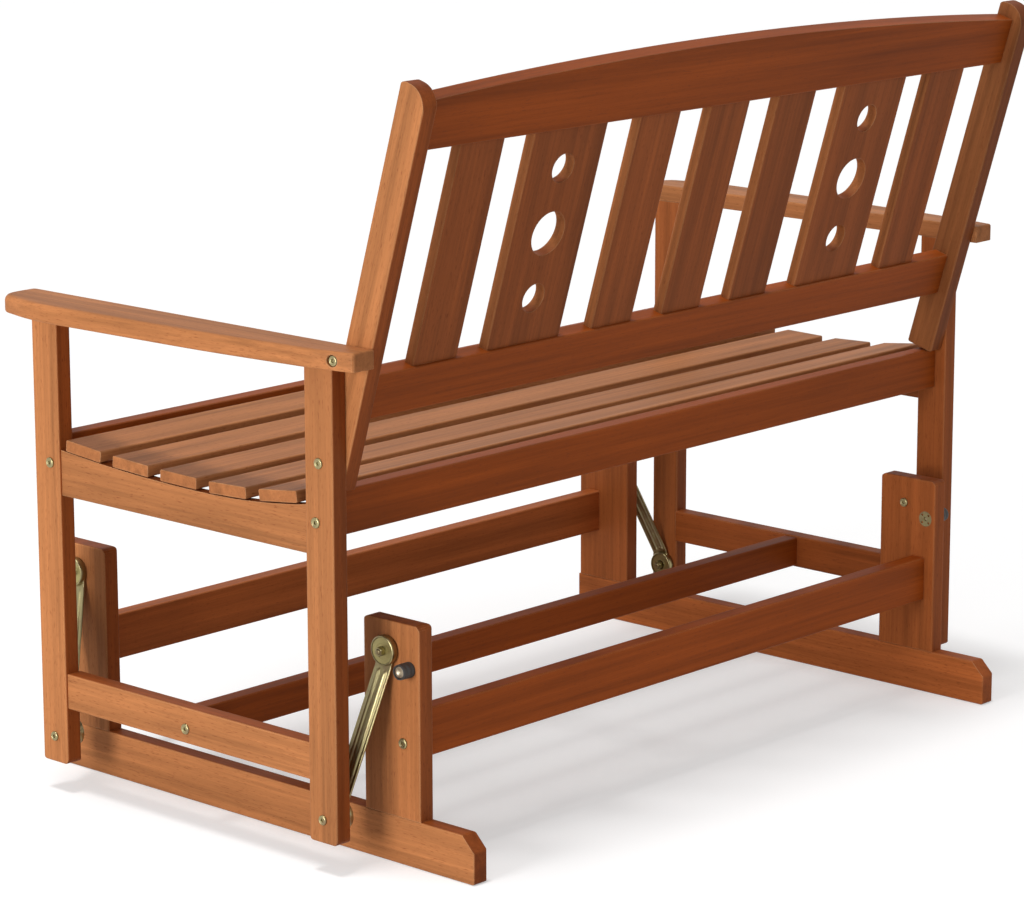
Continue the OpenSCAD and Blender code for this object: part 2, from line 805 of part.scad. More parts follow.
module centre_stretcher() {
  inner = side_out - board;
  color(wood) difference() {
    along_x(-inner, inner) polygon(box_outline(stretcher_mid_y - board / 2,
      stretcher_mid_y + board / 2, stretcher_z + 2.5, stretcher_z + stretcher_height - 2, edge));
    both_sides() {
      pin_x(inner - bolt_length + board - 1, inner + 1, stretcher_mid_y, stretcher_bolt_z,
        bolt_hole);
      translate([inner - barrel_inset, stretcher_mid_y, stretcher_z - 1])
        cylinder(r = barrel_hole, h = stretcher_bolt_z - stretcher_z + 1 + barrel_length / 2,
          $fn = 32);
    }
  }
}

module seat_rail(y) {
  color(wood) difference() {
    along_x(-leg_in, leg_in) polygon(box_outline(y, y + board, seat_rail_z, seat_rail_top, edge));
    both_sides() {
      pin_x(leg_in - bolt_length + board - 1, leg_in + 1, y + board / 2, rail_bolt_z, bolt_hole);
      translate([leg_in - barrel_inset, y + board / 2, seat_rail_z - 1])
        cylinder(r = barrel_hole, h = rail_bolt_z - seat_rail_z + 1 + barrel_length / 2,
          $fn = 32);
    }
    for (x = bearer_places)
      bearer_tenons(x, clearance);
  }
}

module bearer_tenons(x, gap) {
  for (y = [rail_front_y + board, rail_rear_y])
    along_y(y - shoulder - gap, y + shoulder + gap)
      polygon(box_outline(x - board / 4 - gap, x + board / 4 + gap,
        seat_rail_z + shoulder - gap, seat_rail_z + seat_rail_height / 2 + gap, 0.5));
}

// where the head of a slat screw starts, under slat i
function screw_z(i) = dish_z(slat_y(i)) - slat_thickness + screw_bite - screw_length;

// bearer under the slats, its top cut to a flat seat for each slat
module bearer(x) {
  color(wood) difference() {
    union() {
      along_x(x - board / 2, x + board / 2) polygon([
        [rail_front_y + board, seat_rail_z],
        [rail_rear_y, seat_rail_z],
        [rail_rear_y, slat_point(seat_slats - 1, seat_slat_width / 2, -slat_thickness)[1]],
        for (i = [seat_slats - 1:-1:0], s = [0.5, -0.5])
          slat_point(i, s * seat_slat_width, -slat_thickness),
        [rail_front_y + board, slat_point(0, -seat_slat_width / 2, -slat_thickness)[1]]
      ]);
      bearer_tenons(x, 0);
    }
    for (i = [0:seat_slats - 1])
      translate([x, slat_y(i), 0]) {
        along_z(seat_rail_z - 1, seat_height + 20) circle(r = screw / 2 + clearance, $fn = 24);
        along_z(seat_rail_z - 1, screw_z(i) + screw * 0.8) circle(r = screw + 0.2, $fn = 24);
      }
  }
}

module seat_slat(i) {
  color(wood) difference() {
    along_x(-leg_out, leg_out) translate([slat_y(i), dish_z(slat_y(i))])
      rotate(dish_slope(slat_y(i)))
        polygon(box_outline(-seat_slat_width / 2, seat_slat_width / 2, -slat_thickness, 0, edge));
    for (x = bearer_places)
      translate([x, slat_y(i), 0]) along_z(seat_rail_z, screw_z(i) + screw_length + 0.3)
        circle(r = screw / 2 + clearance, $fn = 24);
  }
}

module slat_screws() {
  color(zinc) for (x = bearer_places, i = [0:seat_slats - 1])
    translate([x, slat_y(i), screw_z(i)]) rotate_extrude($fn = 24) polygon([
      [0, screw * 0.2],
      [screw * 0.35, 0],
      [screw * 0.9, screw * 0.35],
      [screw, screw * 0.8],
      [screw / 2, screw * 0.8],
      [screw / 2, screw_length - screw],
      [0, screw_length]
    ]);
}

module seat_bolts() {
  both_sides() {
    translate([leg_out, front_bolt_y, rail_bolt_z]) connector_bolt(bolt_length);
    translate([leg_out, rear_bolt_y, rail_bolt_z]) connector_bolt(bolt_length);
    translate([leg_out, rear_leg_y + leg_depth / 2, foot_bolt_z]) connector_bolt(bolt_length);
    translate([side_out, stretcher_mid_y, stretcher_bolt_z]) connector_bolt(bolt_length);
    translate([arm_bolt_x, arm_bolt_y, arm_z]) connector_bolt(arm_bolt_length);
  }
}

module seat_barrel_nuts() {
  both_sides() {
    translate([leg_in - barrel_inset, front_bolt_y, rail_bolt_z]) barrel_nut();
    translate([leg_in - barrel_inset, rear_bolt_y, rail_bolt_z]) barrel_nut();
    translate([side_out - board - barrel_inset, stretcher_mid_y, stretcher_bolt_z]) barrel_nut();
  }
}

// back

module post() {
  color(wood) difference() {
    back_frame() difference() {
      intersection() {
        along_x(post_in, leg_in) polygon(outline([
          [-post_width, -post_foot, 4],
          [0, -post_foot, 4],
          [0, post_length - post_foot, post_shoulder],
          [-post_width, post_length - post_foot, post_nose]
        ]));
        along_z(-post_foot - 1, post_length)
          polygon(box_outline(post_in, leg_in, -post_width, 0, edge));
      }
      rail_tenons(clearance);
    }
    pin_x(leg_in - bolt_length + board - 1, leg_in + 1, rear_leg_y + leg_depth / 2, foot_bolt_z,
      bolt_hole);
    pin_x(post_in + 4, leg_in + 1, arm_bolt_y, arm_z, bolt_hole);
  }
}

// tenons of the two back rails, let into the posts
module rail_tenons(gap) {
  x = post_in + tenon + gap;
  for (p = [[lower_rail_start, lower_rail_height], [back_top, crest_end_height]])
    along_x(-x, x) polygon(box_outline(rail_face - board + 6 - gap, rail_face - 6 + gap,
      p[0] + shoulder - gap, p[0] + p[1] - shoulder + gap, 0.5));
}

module back_rail_holes() {
  for (i = [-3:3])
    along_z(back_bottom - tenon - clearance, back_top + tenon + clearance)
      polygon(box_outline(slat_x(i) - slat_w(i) / 2 + shoulder - clearance,
        slat_x(i) + slat_w(i) / 2 - shoulder + clearance,
        slat_face - slat_thickness + 2 - clearance, slat_face - 2 + clearance, 0.5));
}

module lower_back_rail() {
  color(wood) back_frame() difference() {
    union() {
      along_x(-post_in, post_in) polygon(box_outline(rail_face - board, rail_face,
        lower_rail_start, back_bottom, edge));
      intersection() {
        rail_tenons(0);
        along_z(0, back_bottom + 1) square([frame_width, 4 * post_width], center = true);
      }
    }
    back_rail_holes();
  }
}

module crest_rail() {
  end = back_top + crest_end_height;
  radius = (post_in * post_in + crest_arch * crest_arch) / (2 * crest_arch);
  color(wood) back_frame() difference() {
    union() {
      intersection() {
        along_y(rail_face - board, rail_face) polygon([
          [-post_in, back_top],
          [post_in, back_top],
          for (i = [0:40])
            let (x = post_in * (1 - i / 20))
            [x, end + crest_arch - radius + sqrt(radius * radius - x * x)]
        ]);
        along_x(-post_in, post_in) polygon(box_outline(rail_face - board, rail_face,
          back_top, end + crest_arch + 5, edge));
      }
      intersection() {
        rail_tenons(0);
        along_z(back_top - 1, end + 1) square([frame_width, 4 * post_width], center = true);
      }
    }
    back_rail_holes();
  }
}

// the slats of the back are numbered from the sitter's right, -3 to 3 about the middle
function slat_x(i) = sign(i) * slat_places[abs(i)] * post_in;
function slat_w(i) = abs(i) == 2 ? wide_slat : narrow_slat;

module back_slat(i) {
  mid = (back_bottom + back_top) / 2 + hole_lift;
  color(wood) back_frame() translate([slat_x(i), 0, 0]) difference() {
    union() {
      along_z(back_bottom, back_top) polygon(box_outline(-slat_w(i) / 2, slat_w(i) / 2,
        slat_face - slat_thickness, slat_face, edge));
      along_z(back_bottom - tenon, back_top + tenon) polygon(box_outline(
        shoulder - slat_w(i) / 2, slat_w(i) / 2 - shoulder,
        slat_face - slat_thickness + 2, slat_face - 2, 0.5));
    }
    if (abs(i) == 2)
      for (k = [-1:1])
        pin_y(0, slat_face - slat_thickness - 1, slat_face + 1, mid + k * hole_pitch,
          (k == 0 ? large_hole : small_hole) / 2);
  }
}

// armrest: straight inside, bowed front edge, and an outer edge that narrows both ways

module armrest() {
  waist = arm_front_y + (arm_rear_y - arm_front_y) * 0.14;
  color(wood) difference() {
    intersection() {
      along_z(arm_under, arm_height) polygon(outline([
        [leg_in, arm_front_y + arm_bow, 6],
        [leg_in + (arm_outer - leg_in) * 0.42, arm_front_y, 60],
        [arm_outer - arm_front_taper, arm_front_y, arm_corner],
        [arm_outer, waist, 340],
        [arm_outer - arm_rear_taper * 0.4, (waist + arm_rear_y - arm_turn) / 2, 4000],
        [arm_outer - arm_rear_taper, arm_rear_y - arm_turn, 60],
        [leg_in + arm_end_width, arm_rear_y, 3],
        [leg_in, arm_rear_y, 1]
      ]));
      along_y(arm_front_y - 1, arm_rear_y + 1) polygon(outline([
        [leg_in, arm_under, edge],
        [arm_outer + 1, arm_under, 0],
        [arm_outer + 1, arm_height, 0],
        [leg_in, arm_height, edge]
      ]));
      along_x(leg_in - 1, arm_outer + 1)
        polygon(box_outline(arm_front_y, arm_rear_y, arm_under, arm_height, edge));
    }
    for (y = [front_leg_y, rear_leg_y])
      along_z(arm_under - 1, arm_under + tenon)
        polygon(box_outline(leg_in + 6 - clearance, leg_out - 6 + clearance,
          y + shoulder - clearance, y + leg_depth - shoulder + clearance, 2));
    pin_x(leg_in - 1, arm_outer, arm_bolt_y, arm_z, bolt_hole);
    pin_x(arm_bolt_x, arm_outer + 1, arm_bolt_y, arm_z, bolt_head / 2 + 0.5);
  }
}

sled_rail();  // left_sled_rail
other_side() sled_rail();  // right_sled_rail
upright(front_upright_y, front_rail_place, false);  // left_front_upright
other_side() upright(front_upright_y, front_rail_place, false);  // right_front_upright
upright(rear_upright_y, rear_rail_place, true);  // left_rear_upright
other_side() upright(rear_upright_y, rear_rail_place, true);  // right_rear_upright
base_rail(front_upright_y + front_rail_place);  // base_front_rail
base_rail(rear_upright_y + rear_rail_place);  // base_rear_rail
bumpers();
bumper_screws();
bumper_nuts();
base_bolts();
base_barrel_nuts();
sled_screws();
upper_pivot_bolts();
upper_pivot_nuts();
rear_place() link_body();  // left_rear_link
other_side() rear_place() link_body();  // right_rear_link
both_sides() rear_place() bearing_pair(pivot_bolt / 2 + running);  // rear_bearings
front_place() link_body();  // left_front_link
other_side() front_place() link_body();  // right_front_link
both_sides() front_place() bearing_pair(pivot_bolt / 2 + front_play);  // front_bearings
lower_pivot_bolts();
lower_pivot_nuts();
front_leg();  // left_front_leg
other_side() front_leg();  // right_front_leg
rear_leg();  // left_rear_leg
other_side() rear_leg();  // right_rear_leg
apron();  // left_apron
other_side() apron();  // right_apron
side_stretcher();  // left_stretcher
other_side() side_stretcher();  // right_stretcher
centre_stretcher();
seat_rail(rail_front_y);  // front_seat_rail
seat_rail(rail_rear_y);  // rear_seat_rail
seat_slat(0);  // seat_slat_1
seat_slat(1);  // seat_slat_2
seat_slat(2);  // seat_slat_3
seat_slat(3);  // seat_slat_4
seat_slat(4);  // seat_slat_5
bearer(bearer_spread);  // left_bearer
bearer(0);  // middle_bearer
bearer(-bearer_spread);  // right_bearer
post();  // left_post
other_side() post();  // right_post
crest_rail();
lower_back_rail();
back_slat(-3);  // back_slat_1
back_slat(-2);  // back_slat_2
back_slat(-1);  // back_slat_3
back_slat(0);  // back_slat_4
back_slat(1);  // back_slat_5
back_slat(2);  // back_slat_6
back_slat(3);  // back_slat_7
armrest();  // left_armrest
other_side() armrest();  // right_armrest
seat_bolts();
seat_barrel_nuts();
slat_screws();
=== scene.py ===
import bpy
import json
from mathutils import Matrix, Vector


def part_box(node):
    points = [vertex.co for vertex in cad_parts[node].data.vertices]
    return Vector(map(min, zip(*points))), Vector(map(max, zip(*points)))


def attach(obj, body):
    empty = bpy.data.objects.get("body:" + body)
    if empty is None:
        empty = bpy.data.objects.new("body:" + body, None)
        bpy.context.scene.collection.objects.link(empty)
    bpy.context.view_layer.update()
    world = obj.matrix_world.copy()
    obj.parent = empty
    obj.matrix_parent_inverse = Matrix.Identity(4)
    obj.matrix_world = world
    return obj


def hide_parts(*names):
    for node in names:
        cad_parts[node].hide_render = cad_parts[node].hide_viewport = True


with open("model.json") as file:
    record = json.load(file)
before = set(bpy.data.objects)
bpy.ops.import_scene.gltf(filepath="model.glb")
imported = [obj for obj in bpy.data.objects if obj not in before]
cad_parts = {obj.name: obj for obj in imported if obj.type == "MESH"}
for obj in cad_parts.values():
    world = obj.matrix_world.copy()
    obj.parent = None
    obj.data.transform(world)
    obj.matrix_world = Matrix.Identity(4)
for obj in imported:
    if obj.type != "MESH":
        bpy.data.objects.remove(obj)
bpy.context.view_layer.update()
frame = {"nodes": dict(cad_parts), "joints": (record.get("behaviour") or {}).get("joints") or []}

import json
import math

import bmesh
import bpy
import numpy as np
from mathutils import Matrix, Vector

bl_info = {
    "name": "Outdoor glider finish",
    "version": (1, 0, 0),
    "blender": (4, 5, 0),
    "location": "3D View > Sidebar > Glider",
    "description": "Finishes and fine metalwork for a two-seat wooden glider bench",
    "category": "Object",
}

CAD = frame["nodes"]
JOINTS = {joint["name"]: joint for joint in frame["joints"]}
SIDES = {"left": 1, "right": -1}
# how far the back leans from upright
LEAN = math.radians(16.5)
# faces that meet at more than this keep a sharp edge between them
CREASE = math.radians(35)
# thickness of the connector bolts' heads, in millimetres
HEAD = 2.4
# patterns on metal and rubber, in millimetres: clouds in the plating and on the bearings, marks
# of tumbling, grinding marks and bloom; the marks are drawn far coarser than real ones, which
# are too fine to show
CLOUD, WIDE_CLOUD, TUMBLED, GROUND, BLOOM = 11.1, 16.7, 3.33, 0.714, 2.5

# the boards, by the direction of their grain
ACROSS = [
    "base_front_rail", "base_rear_rail", "centre_stretcher", "front_seat_rail", "rear_seat_rail",
    "seat_slat_1", "seat_slat_2", "seat_slat_3", "seat_slat_4", "seat_slat_5",
    "crest_rail", "lower_back_rail",
]
LENGTHWISE = [
    "left_sled_rail", "right_sled_rail", "left_apron", "right_apron", "left_stretcher",
    "right_stretcher", "left_armrest", "right_armrest", "left_bearer", "middle_bearer",
    "right_bearer",
]
UPRIGHT = [
    "left_front_upright", "right_front_upright", "left_rear_upright", "right_rear_upright",
    "left_front_leg", "right_front_leg", "left_rear_leg", "right_rear_leg",
]
LEANING = [
    "left_post", "right_post", "back_slat_1", "back_slat_2", "back_slat_3", "back_slat_4",
    "back_slat_5", "back_slat_6", "back_slat_7",
]
# how far a board's colour goes from honey (0, for a board that isn't here) to russet (1); the
# russet is partly the boards' own redder tone and partly painted shade, given to the boards seen
# mostly on their shaded faces and to most of the right-hand boards
RUSSET_AND_PAINTED_SHADE = {
    "base_front_rail": 0.75, "base_rear_rail": 1, "centre_stretcher": 1, "front_seat_rail": 1,
    "rear_seat_rail": 1, "crest_rail": 1, "lower_back_rail": 1, "back_slat_1": 0.3,
    "back_slat_2": 0.3, "back_slat_3": 0.3, "back_slat_4": 0.3, "back_slat_5": 0.3,
    "back_slat_6": 0.3, "back_slat_7": 0.3, "right_sled_rail": 0.7, "right_rear_upright": 0.7,
    "right_front_upright": 0.7, "right_stretcher": 0.8, "right_rear_leg": 0.7,
    "right_front_leg": 0.6, "right_apron": 0.6, "right_post": 0.3, "left_rear_upright": 0.15,
}
# how bright a board is, where that isn't 1
TONES = {
    "left_front_leg": 1.1, "left_rear_leg": 0.86, "left_rear_upright": 0.92, "left_apron": 0.86,
    "seat_slat_2": 1.05, "seat_slat_4": 0.95, "back_slat_3": 0.94, "back_slat_6": 0.95,
    "lower_back_rail": 1.08, "base_front_rail": 1.3, "base_rear_rail": 1.2,
    "centre_stretcher": 1.1, "right_rear_upright": 1.2, "right_sled_rail": 1.3,
    "right_rear_leg": 1.1, "right_post": 0.75,
}


def linear(code):
    """An sRGB hex colour as linear red, green and blue, by the sRGB transfer curve."""
    part = np.array([int(code[i:i + 2], 16) for i in (1, 3, 5)]) / 255
    curve = np.where(part <= 0.04045, part / 12.92, ((part + 0.055) / 1.055) ** 2.4)
    return tuple(float(value) for value in curve)


class GliderWood(bpy.types.PropertyGroup):
    """Sizes and colours of the oiled hardwood."""

    honey: bpy.props.FloatVectorProperty(
        name="Honey boards", description="Colour of the paler, more golden boards",
        default=linear("#AB6E42"), subtype="COLOR", size=3, min=0, max=1)
    # partly painted shade: the deeper, redder look that shade gives, put on as a board colour
    russet_and_painted_shade: bpy.props.FloatVectorProperty(
        name="Russet boards", description="Colour of the deeper, redder boards",
        default=linear("#8F4314"), subtype="COLOR", size=3, min=0, max=1)
    pore: bpy.props.FloatVectorProperty(
        name="Pores", description="Colour of the open pores and late wood",
        default=linear("#6E351A"), subtype="COLOR", size=3, min=0, max=1)
    # painted highlight along the rounded edges, standing also for oil thinned by sanding
    worn_and_highlit_edges: bpy.props.FloatVectorProperty(
        name="Worn edges", description="Colour of the edges where sanding thinned the oil",
        default=linear("#DDB083"), subtype="COLOR", size=3, min=0, max=1)
    # painted shade: faces that look neither left nor right are multiplied by this colour
    deeper: bpy.props.FloatVectorProperty(
        name="Deeper faces", description="What is left of the colour on a face that looks neither "
        "left nor right", default=linear("#D3AA84"), subtype="COLOR", size=3, min=0, max=1)
    band: bpy.props.FloatProperty(
        name="Band width", description="Width of a growth band across the grain",
        default=0.017, subtype="DISTANCE", unit="LENGTH", min=0.002, max=0.1)
    fibre: bpy.props.FloatProperty(
        name="Fibre width", description="Width of a bundle of fibres",
        default=0.0014, subtype="DISTANCE", unit="LENGTH", min=0.0002, max=0.01)
    softened: bpy.props.FloatProperty(
        name="Softened edges", description="Radius of the sanded edges of the boards",
        default=0.0018, subtype="DISTANCE", unit="LENGTH", min=0, max=0.01)
    roughness: bpy.props.FloatProperty(
        name="Roughness", description="Roughness of the oiled surface",
        default=0.48, min=0, max=1)


class GliderMetal(bpy.types.PropertyGroup):
    """Sizes and colours of the metal and rubber."""

    plating: bpy.props.FloatVectorProperty(
        name="Yellow zinc", description="Colour of the yellow-passivated zinc plating",
        default=linear("#9A9069"), subtype="COLOR", size=3, min=0, max=1)
    pale: bpy.props.FloatVectorProperty(
        name="Pale zinc", description="Colour of the washer heads in the bumpers",
        default=linear("#CFC5AC"), subtype="COLOR", size=3, min=0, max=1)
    tint: bpy.props.FloatVectorProperty(
        name="Passivation tint", description="Colour of the reddish tint in the plating",
        default=linear("#866F58"), subtype="COLOR", size=3, min=0, max=1)
    steel: bpy.props.FloatVectorProperty(
        name="Bearing steel", description="Colour of the bearings",
        default=linear("#A99D63"), subtype="COLOR", size=3, min=0, max=1)
    rubber: bpy.props.FloatVectorProperty(
        name="Rubber", description="Colour of the bumpers",
        default=linear("#2D2927"), subtype="COLOR", size=3, min=0, max=1)


class GliderLinks(bpy.types.PropertyGroup):
    """Sizes of the pressed swing links, in millimetres."""

    long: bpy.props.FloatProperty(
        name="Pivot distance", description="Distance between the two pivots, in millimetres",
        default=191.5, min=150, max=260)
    step: bpy.props.FloatProperty(
        name="Step", description="How far the lower disc stands out, in millimetres",
        default=56, min=20, max=90)
    disc: bpy.props.FloatProperty(
        name="Disc radius", description="Radius of the two discs of the plate, in millimetres",
        default=17.5, min=14, max=22)
    arm: bpy.props.FloatProperty(
        name="Arm half width", description="Half the width of the arm, in millimetres",
        default=12.5, min=9, max=17)
    plate: bpy.props.FloatProperty(
        name="Plate", description="Thickness of the plate, in millimetres",
        default=3, min=2, max=5)
    bead: bpy.props.FloatProperty(
        name="Bead place", description="Distance of each bead from the middle, in millimetres",
        default=5.4, min=4.5, max=7)


class GliderArms(bpy.types.PropertyGroup):
    """Sizes of the armrests, in millimetres."""

    reach: bpy.props.FloatProperty(
        name="Outer edge", description="Distance of the outer edge's plan corner from the middle, "
        "in millimetres", default=635, min=600, max=660)
    front: bpy.props.FloatProperty(
        name="Front edge", description="Place of the front edge along Y, in millimetres",
        default=-311, min=-340, max=-280)
    softness: bpy.props.FloatProperty(
        name="Softness", description="Radius of the rounded upper edges, in millimetres",
        default=5.0, min=1, max=9)


class GliderStage(bpy.types.PropertyGroup):
    """The floor, the lamps and the camera."""

    floor: bpy.props.FloatVectorProperty(
        name="Floor", description="Colour of the floor",
        default=linear("#D2D2D2"), subtype="COLOR", size=3, min=0, max=1)
    side: bpy.props.FloatProperty(
        name="Side light", description="Power of the soft lamp at the sitter's left, in watts",
        default=104, min=0, max=2000)
    top: bpy.props.FloatProperty(
        name="Top light", description="Strength of the light from above",
        default=1.4, min=0, max=20)
    fill: bpy.props.FloatProperty(
        name="Fill", description="Strength of the even light all round",
        default=0.5, min=0, max=5)
    lens: bpy.props.FloatProperty(
        name="Lens", description="Focal length on a 36 mm sensor, in millimetres",
        default=134.2, min=20, max=400)


def plug(sockets, key):
    """A socket by its place, or the enabled one of that name."""
    if isinstance(key, int):
        return sockets[key]
    return next(socket for socket in sockets if socket.enabled and socket.name == key)


def add_node(tree, kind, settings=None, links=None, output=0):
    """Adds one node with its settings and links, and gives back one of its outputs.

    A setting is one of the node's own or the value of a socket. "stops" are the places and greys
    of a colour ramp.
    """
    node = tree.nodes.new(kind)
    for key, value in (settings or {}).items():
        if key == "stops":
            elements = node.color_ramp.elements
            for i, (place, grey) in enumerate(value):
                element = elements[i] if i < 2 else elements.new(place)
                element.position, element.color = place, (grey, grey, grey, 1)
        elif isinstance(key, str) and hasattr(node, key):
            setattr(node, key, value)
        else:
            socket = plug(node.inputs, key)
            if socket.type == "RGBA" and len(value) == 3:
                value = (*value, 1)
            socket.default_value = value
    for key, source in (links or {}).items():
        tree.links.new(source, plug(node.inputs, key))
    if isinstance(output, int):
        return [socket for socket in node.outputs if socket.enabled][output]
    return plug(node.outputs, output)


def new_material(name):
    """An empty material and its node tree."""
    material = bpy.data.materials.new(name)
    material.use_nodes = True
    material.node_tree.nodes.clear()
    return material, material.node_tree


def finish_tree(tree, shader):
    """Links a shader to the tree's output."""
    tree.links.new(shader, tree.nodes.new("ShaderNodeOutputMaterial").inputs["Surface"])


def oiled_hardwood(name, turn, shift, colour, darkest, painted_shade_amount):
    """Reddish tropical hardwood, planed, sanded and wiped with tinted oil.

    That gives the eye soft pale and deep bands along the grain, fine straight fibres, short dark
    pores, darker end grain, a low satin sheen, and paler edges: a painted highlight along the
    rounded edges that also stands for oil thinned by sanding.
    Faces that look neither left nor right are darkened with painted shade, as much as the
    photograph shows on this board, for the weaker light on them. The pores are drawn about twice
    as wide as real ones, which are too fine to show.
    """
    wood = bpy.context.scene.glider_wood
    material, tree = new_material(name)
    place = add_node(tree, "ShaderNodeTexCoord", output="Object")
    facing = place.node.outputs["Normal"]
    grain = add_node(tree, "ShaderNodeMapping", {"Rotation": turn}, {"Vector": place})
    along = add_node(tree, "ShaderNodeMapping", {"Rotation": turn, "vector_type": "NORMAL"},
                     {"Vector": facing})
    # how strongly the pore colour darkens end grain, by how far a face looks along the grain, and
    # how much painted shade (the deeper colour) darkens a face, the less it looks left or right
    shares = []
    for vector, stops in ((along, [(0.55, 0), (0.85, 0.2)]),
                          (facing, [(0.3, painted_shade_amount), (0.75, 0)])):
        part = add_node(tree, "ShaderNodeSeparateXYZ", links={"Vector": vector}, output="X")
        part = add_node(tree, "ShaderNodeMath", {"operation": "ABSOLUTE"}, {0: part})
        shares.append(add_node(tree, "ShaderNodeValToRGB", {"stops": stops}, {"Fac": part},
                               "Color"))
    end, painted_shade_share = shares

    # each pattern's length along the grain and width across it in metres, detail, roughness and
    # distortion
    noise = {}
    for key, (length, width, detail, rough, bent) in {
            "bands": (0.6, wood.band, 4, 0.6, 0.3), "patches": (0.35, 0.05, 2, 0.5, 0),
            "fibres": (0.05, wood.fibre, 3, 0.65, 0), "rings": (0.4, 0.0045, 2, 0.5, 0),
            "pores": (0.009, 0.0011, 1, 0.4, 0)}.items():
        stretched = add_node(tree, "ShaderNodeMapping", {
            "Location": shift, "Scale": (1 / length, 1 / width, 1 / width)}, {"Vector": grain})
        noise[key] = add_node(tree, "ShaderNodeTexNoise", {
            "Scale": 1, "Detail": detail, "Roughness": rough, "Distortion": bent},
            {"Vector": stretched}, "Fac")

    # the board's colour times a factor from each pattern
    multiply = {"data_type": "RGBA", "blend_type": "MULTIPLY", "Factor": 1}
    values, sources = {"A": colour}, {}
    for key, stops in (("bands", [(0.3, darkest), (0.48, 0.92), (0.72, 1.13)]),
                       ("patches", [(0.3, 0.88), (0.7, 1.1)]),
                       ("fibres", [(0.3, 0.9), (0.7, 1.08)]),
                       ("rings", [(0.35, 0.91), (0.65, 1.06)])):
        factor = add_node(tree, "ShaderNodeValToRGB", {"stops": stops}, {"Fac": noise[key]},
                          "Color")
        tone = add_node(tree, "ShaderNodeMix", {**multiply, **values}, {**sources, "B": factor},
                        "Result")
        values, sources = {}, {"A": tone}
    dash = add_node(tree, "ShaderNodeValToRGB", {"stops": [(0.62, 0), (0.76, 0.55)]},
                    {"Fac": noise["pores"]}, "Color")
    for share in (dash, end):
        tone = add_node(tree, "ShaderNodeMix", {"data_type": "RGBA", "B": tuple(wood.pore)},
                        {"Factor": share, "A": tone}, "Result")
    # painted shade: the tone darkened for faces that look neither left nor right
    painted_shade_tone = add_node(tree, "ShaderNodeMix", {**multiply, "B": tuple(wood.deeper)}, {"A": tone},
                    "Result")
    tone = add_node(tree, "ShaderNodeMix", {"data_type": "RGBA"},
                    {"Factor": painted_shade_share, "A": tone, "B": painted_shade_tone}, "Result")

    # paler edges, a painted highlight that also stands for oil thinned by sanding: where the
    # rounded normal leaves the flat one, patch by patch
    rounded = add_node(tree, "ShaderNodeBevel", {"samples": 4, "Radius": wood.softened})
    flat = add_node(tree, "ShaderNodeNewGeometry", output="True Normal")
    edge = add_node(tree, "ShaderNodeVectorMath", {"operation": "DOT_PRODUCT"},
                    {0: rounded, 1: flat}, "Value")
    edge = add_node(tree, "ShaderNodeMapRange", {
        "From Min": 0.995, "From Max": 0.86, "To Min": 0, "To Max": 0.5}, {"Value": edge})
    wear_and_highlight_patches = add_node(tree, "ShaderNodeValToRGB", {"stops": [(0.35, 0.15), (0.65, 1)]},
                   {"Fac": noise["patches"]}, "Color")
    edge = add_node(tree, "ShaderNodeMath", {"operation": "MULTIPLY"}, {0: edge, 1: wear_and_highlight_patches})
    tone = add_node(tree, "ShaderNodeMix", {"data_type": "RGBA", "B": tuple(wood.worn_and_highlit_edges)},
                    {"Factor": edge, "A": tone}, "Result")

    shine = add_node(tree, "ShaderNodeMath", {
        "operation": "MULTIPLY_ADD", 1: 0.1, 2: wood.roughness}, {0: noise["fibres"]})
    relief = add_node(tree, "ShaderNodeMath", {"operation": "MULTIPLY_ADD", 1: -0.6},
                      {0: dash, 2: noise["fibres"]})
    bump = add_node(tree, "ShaderNodeBump", {"Strength": 0.2, "Distance": 0.0002},
                    {"Height": relief, "Normal": rounded}, "Normal")
    finish_tree(tree, add_node(tree, "ShaderNodeBsdfPrincipled", {
        "IOR": 1.5, "Specular IOR Level": 0.08}, {
        "Base Color": tone, "Roughness": shine, "Normal": bump}, "BSDF"))
    return material


def clouded_metal(name, colours, cloud, stops, mark, smooth, uneven):
    """A metal with clouds of a second colour, and a roughness that marks make uneven.

    Clouds and marks are each given by their size in millimetres and their detail.
    """
    material, tree = new_material(name)
    place = add_node(tree, "ShaderNodeTexCoord", output="Object")
    clouds, marks = (add_node(tree, "ShaderNodeTexNoise", {"Scale": 1000 / size, "Detail": detail},
                              {"Vector": place}, "Fac") for size, detail in (cloud, mark))
    share = add_node(tree, "ShaderNodeValToRGB", {"stops": stops}, {"Fac": clouds}, "Color")
    colour = add_node(tree, "ShaderNodeMix", {
        "data_type": "RGBA", "A": tuple(colours[0]), "B": tuple(colours[1])},
        {"Factor": share}, "Result")
    shine = add_node(tree, "ShaderNodeMath", {
        "operation": "MULTIPLY_ADD", 1: uneven, 2: smooth}, {0: marks})
    finish_tree(tree, add_node(tree, "ShaderNodeBsdfPrincipled", {"Metallic": 1}, {
        "Base Color": colour, "Roughness": shine}, "BSDF"))
    return material


def yellow_zinc_plating(name, plating):
    """Steel, pressed or turned, plated with zinc and passivated yellow.

    That gives the eye a pale greenish gold with faint reddish clouds, and soft bright reflections.
    """
    return clouded_metal(name, (plating, bpy.context.scene.glider_metal.tint), (CLOUD, 3),
                         [(0.48, 0), (0.75, 0.8)], (TUMBLED, 2), 0.3, 0.08)


def ground_steel():
    """Bearing steel, ground, and washed with the same yellow passivation.

    That gives the eye a dull olive gold with faint clouds and a wide soft reflection.
    """
    metal = bpy.context.scene.glider_metal
    return clouded_metal("ground_and_passivated_bearing_steel", (metal.steel, metal.plating),
                         (WIDE_CLOUD, 2), [(0, 0), (1, 1)], (GROUND, 2), 0.34, 0.1)


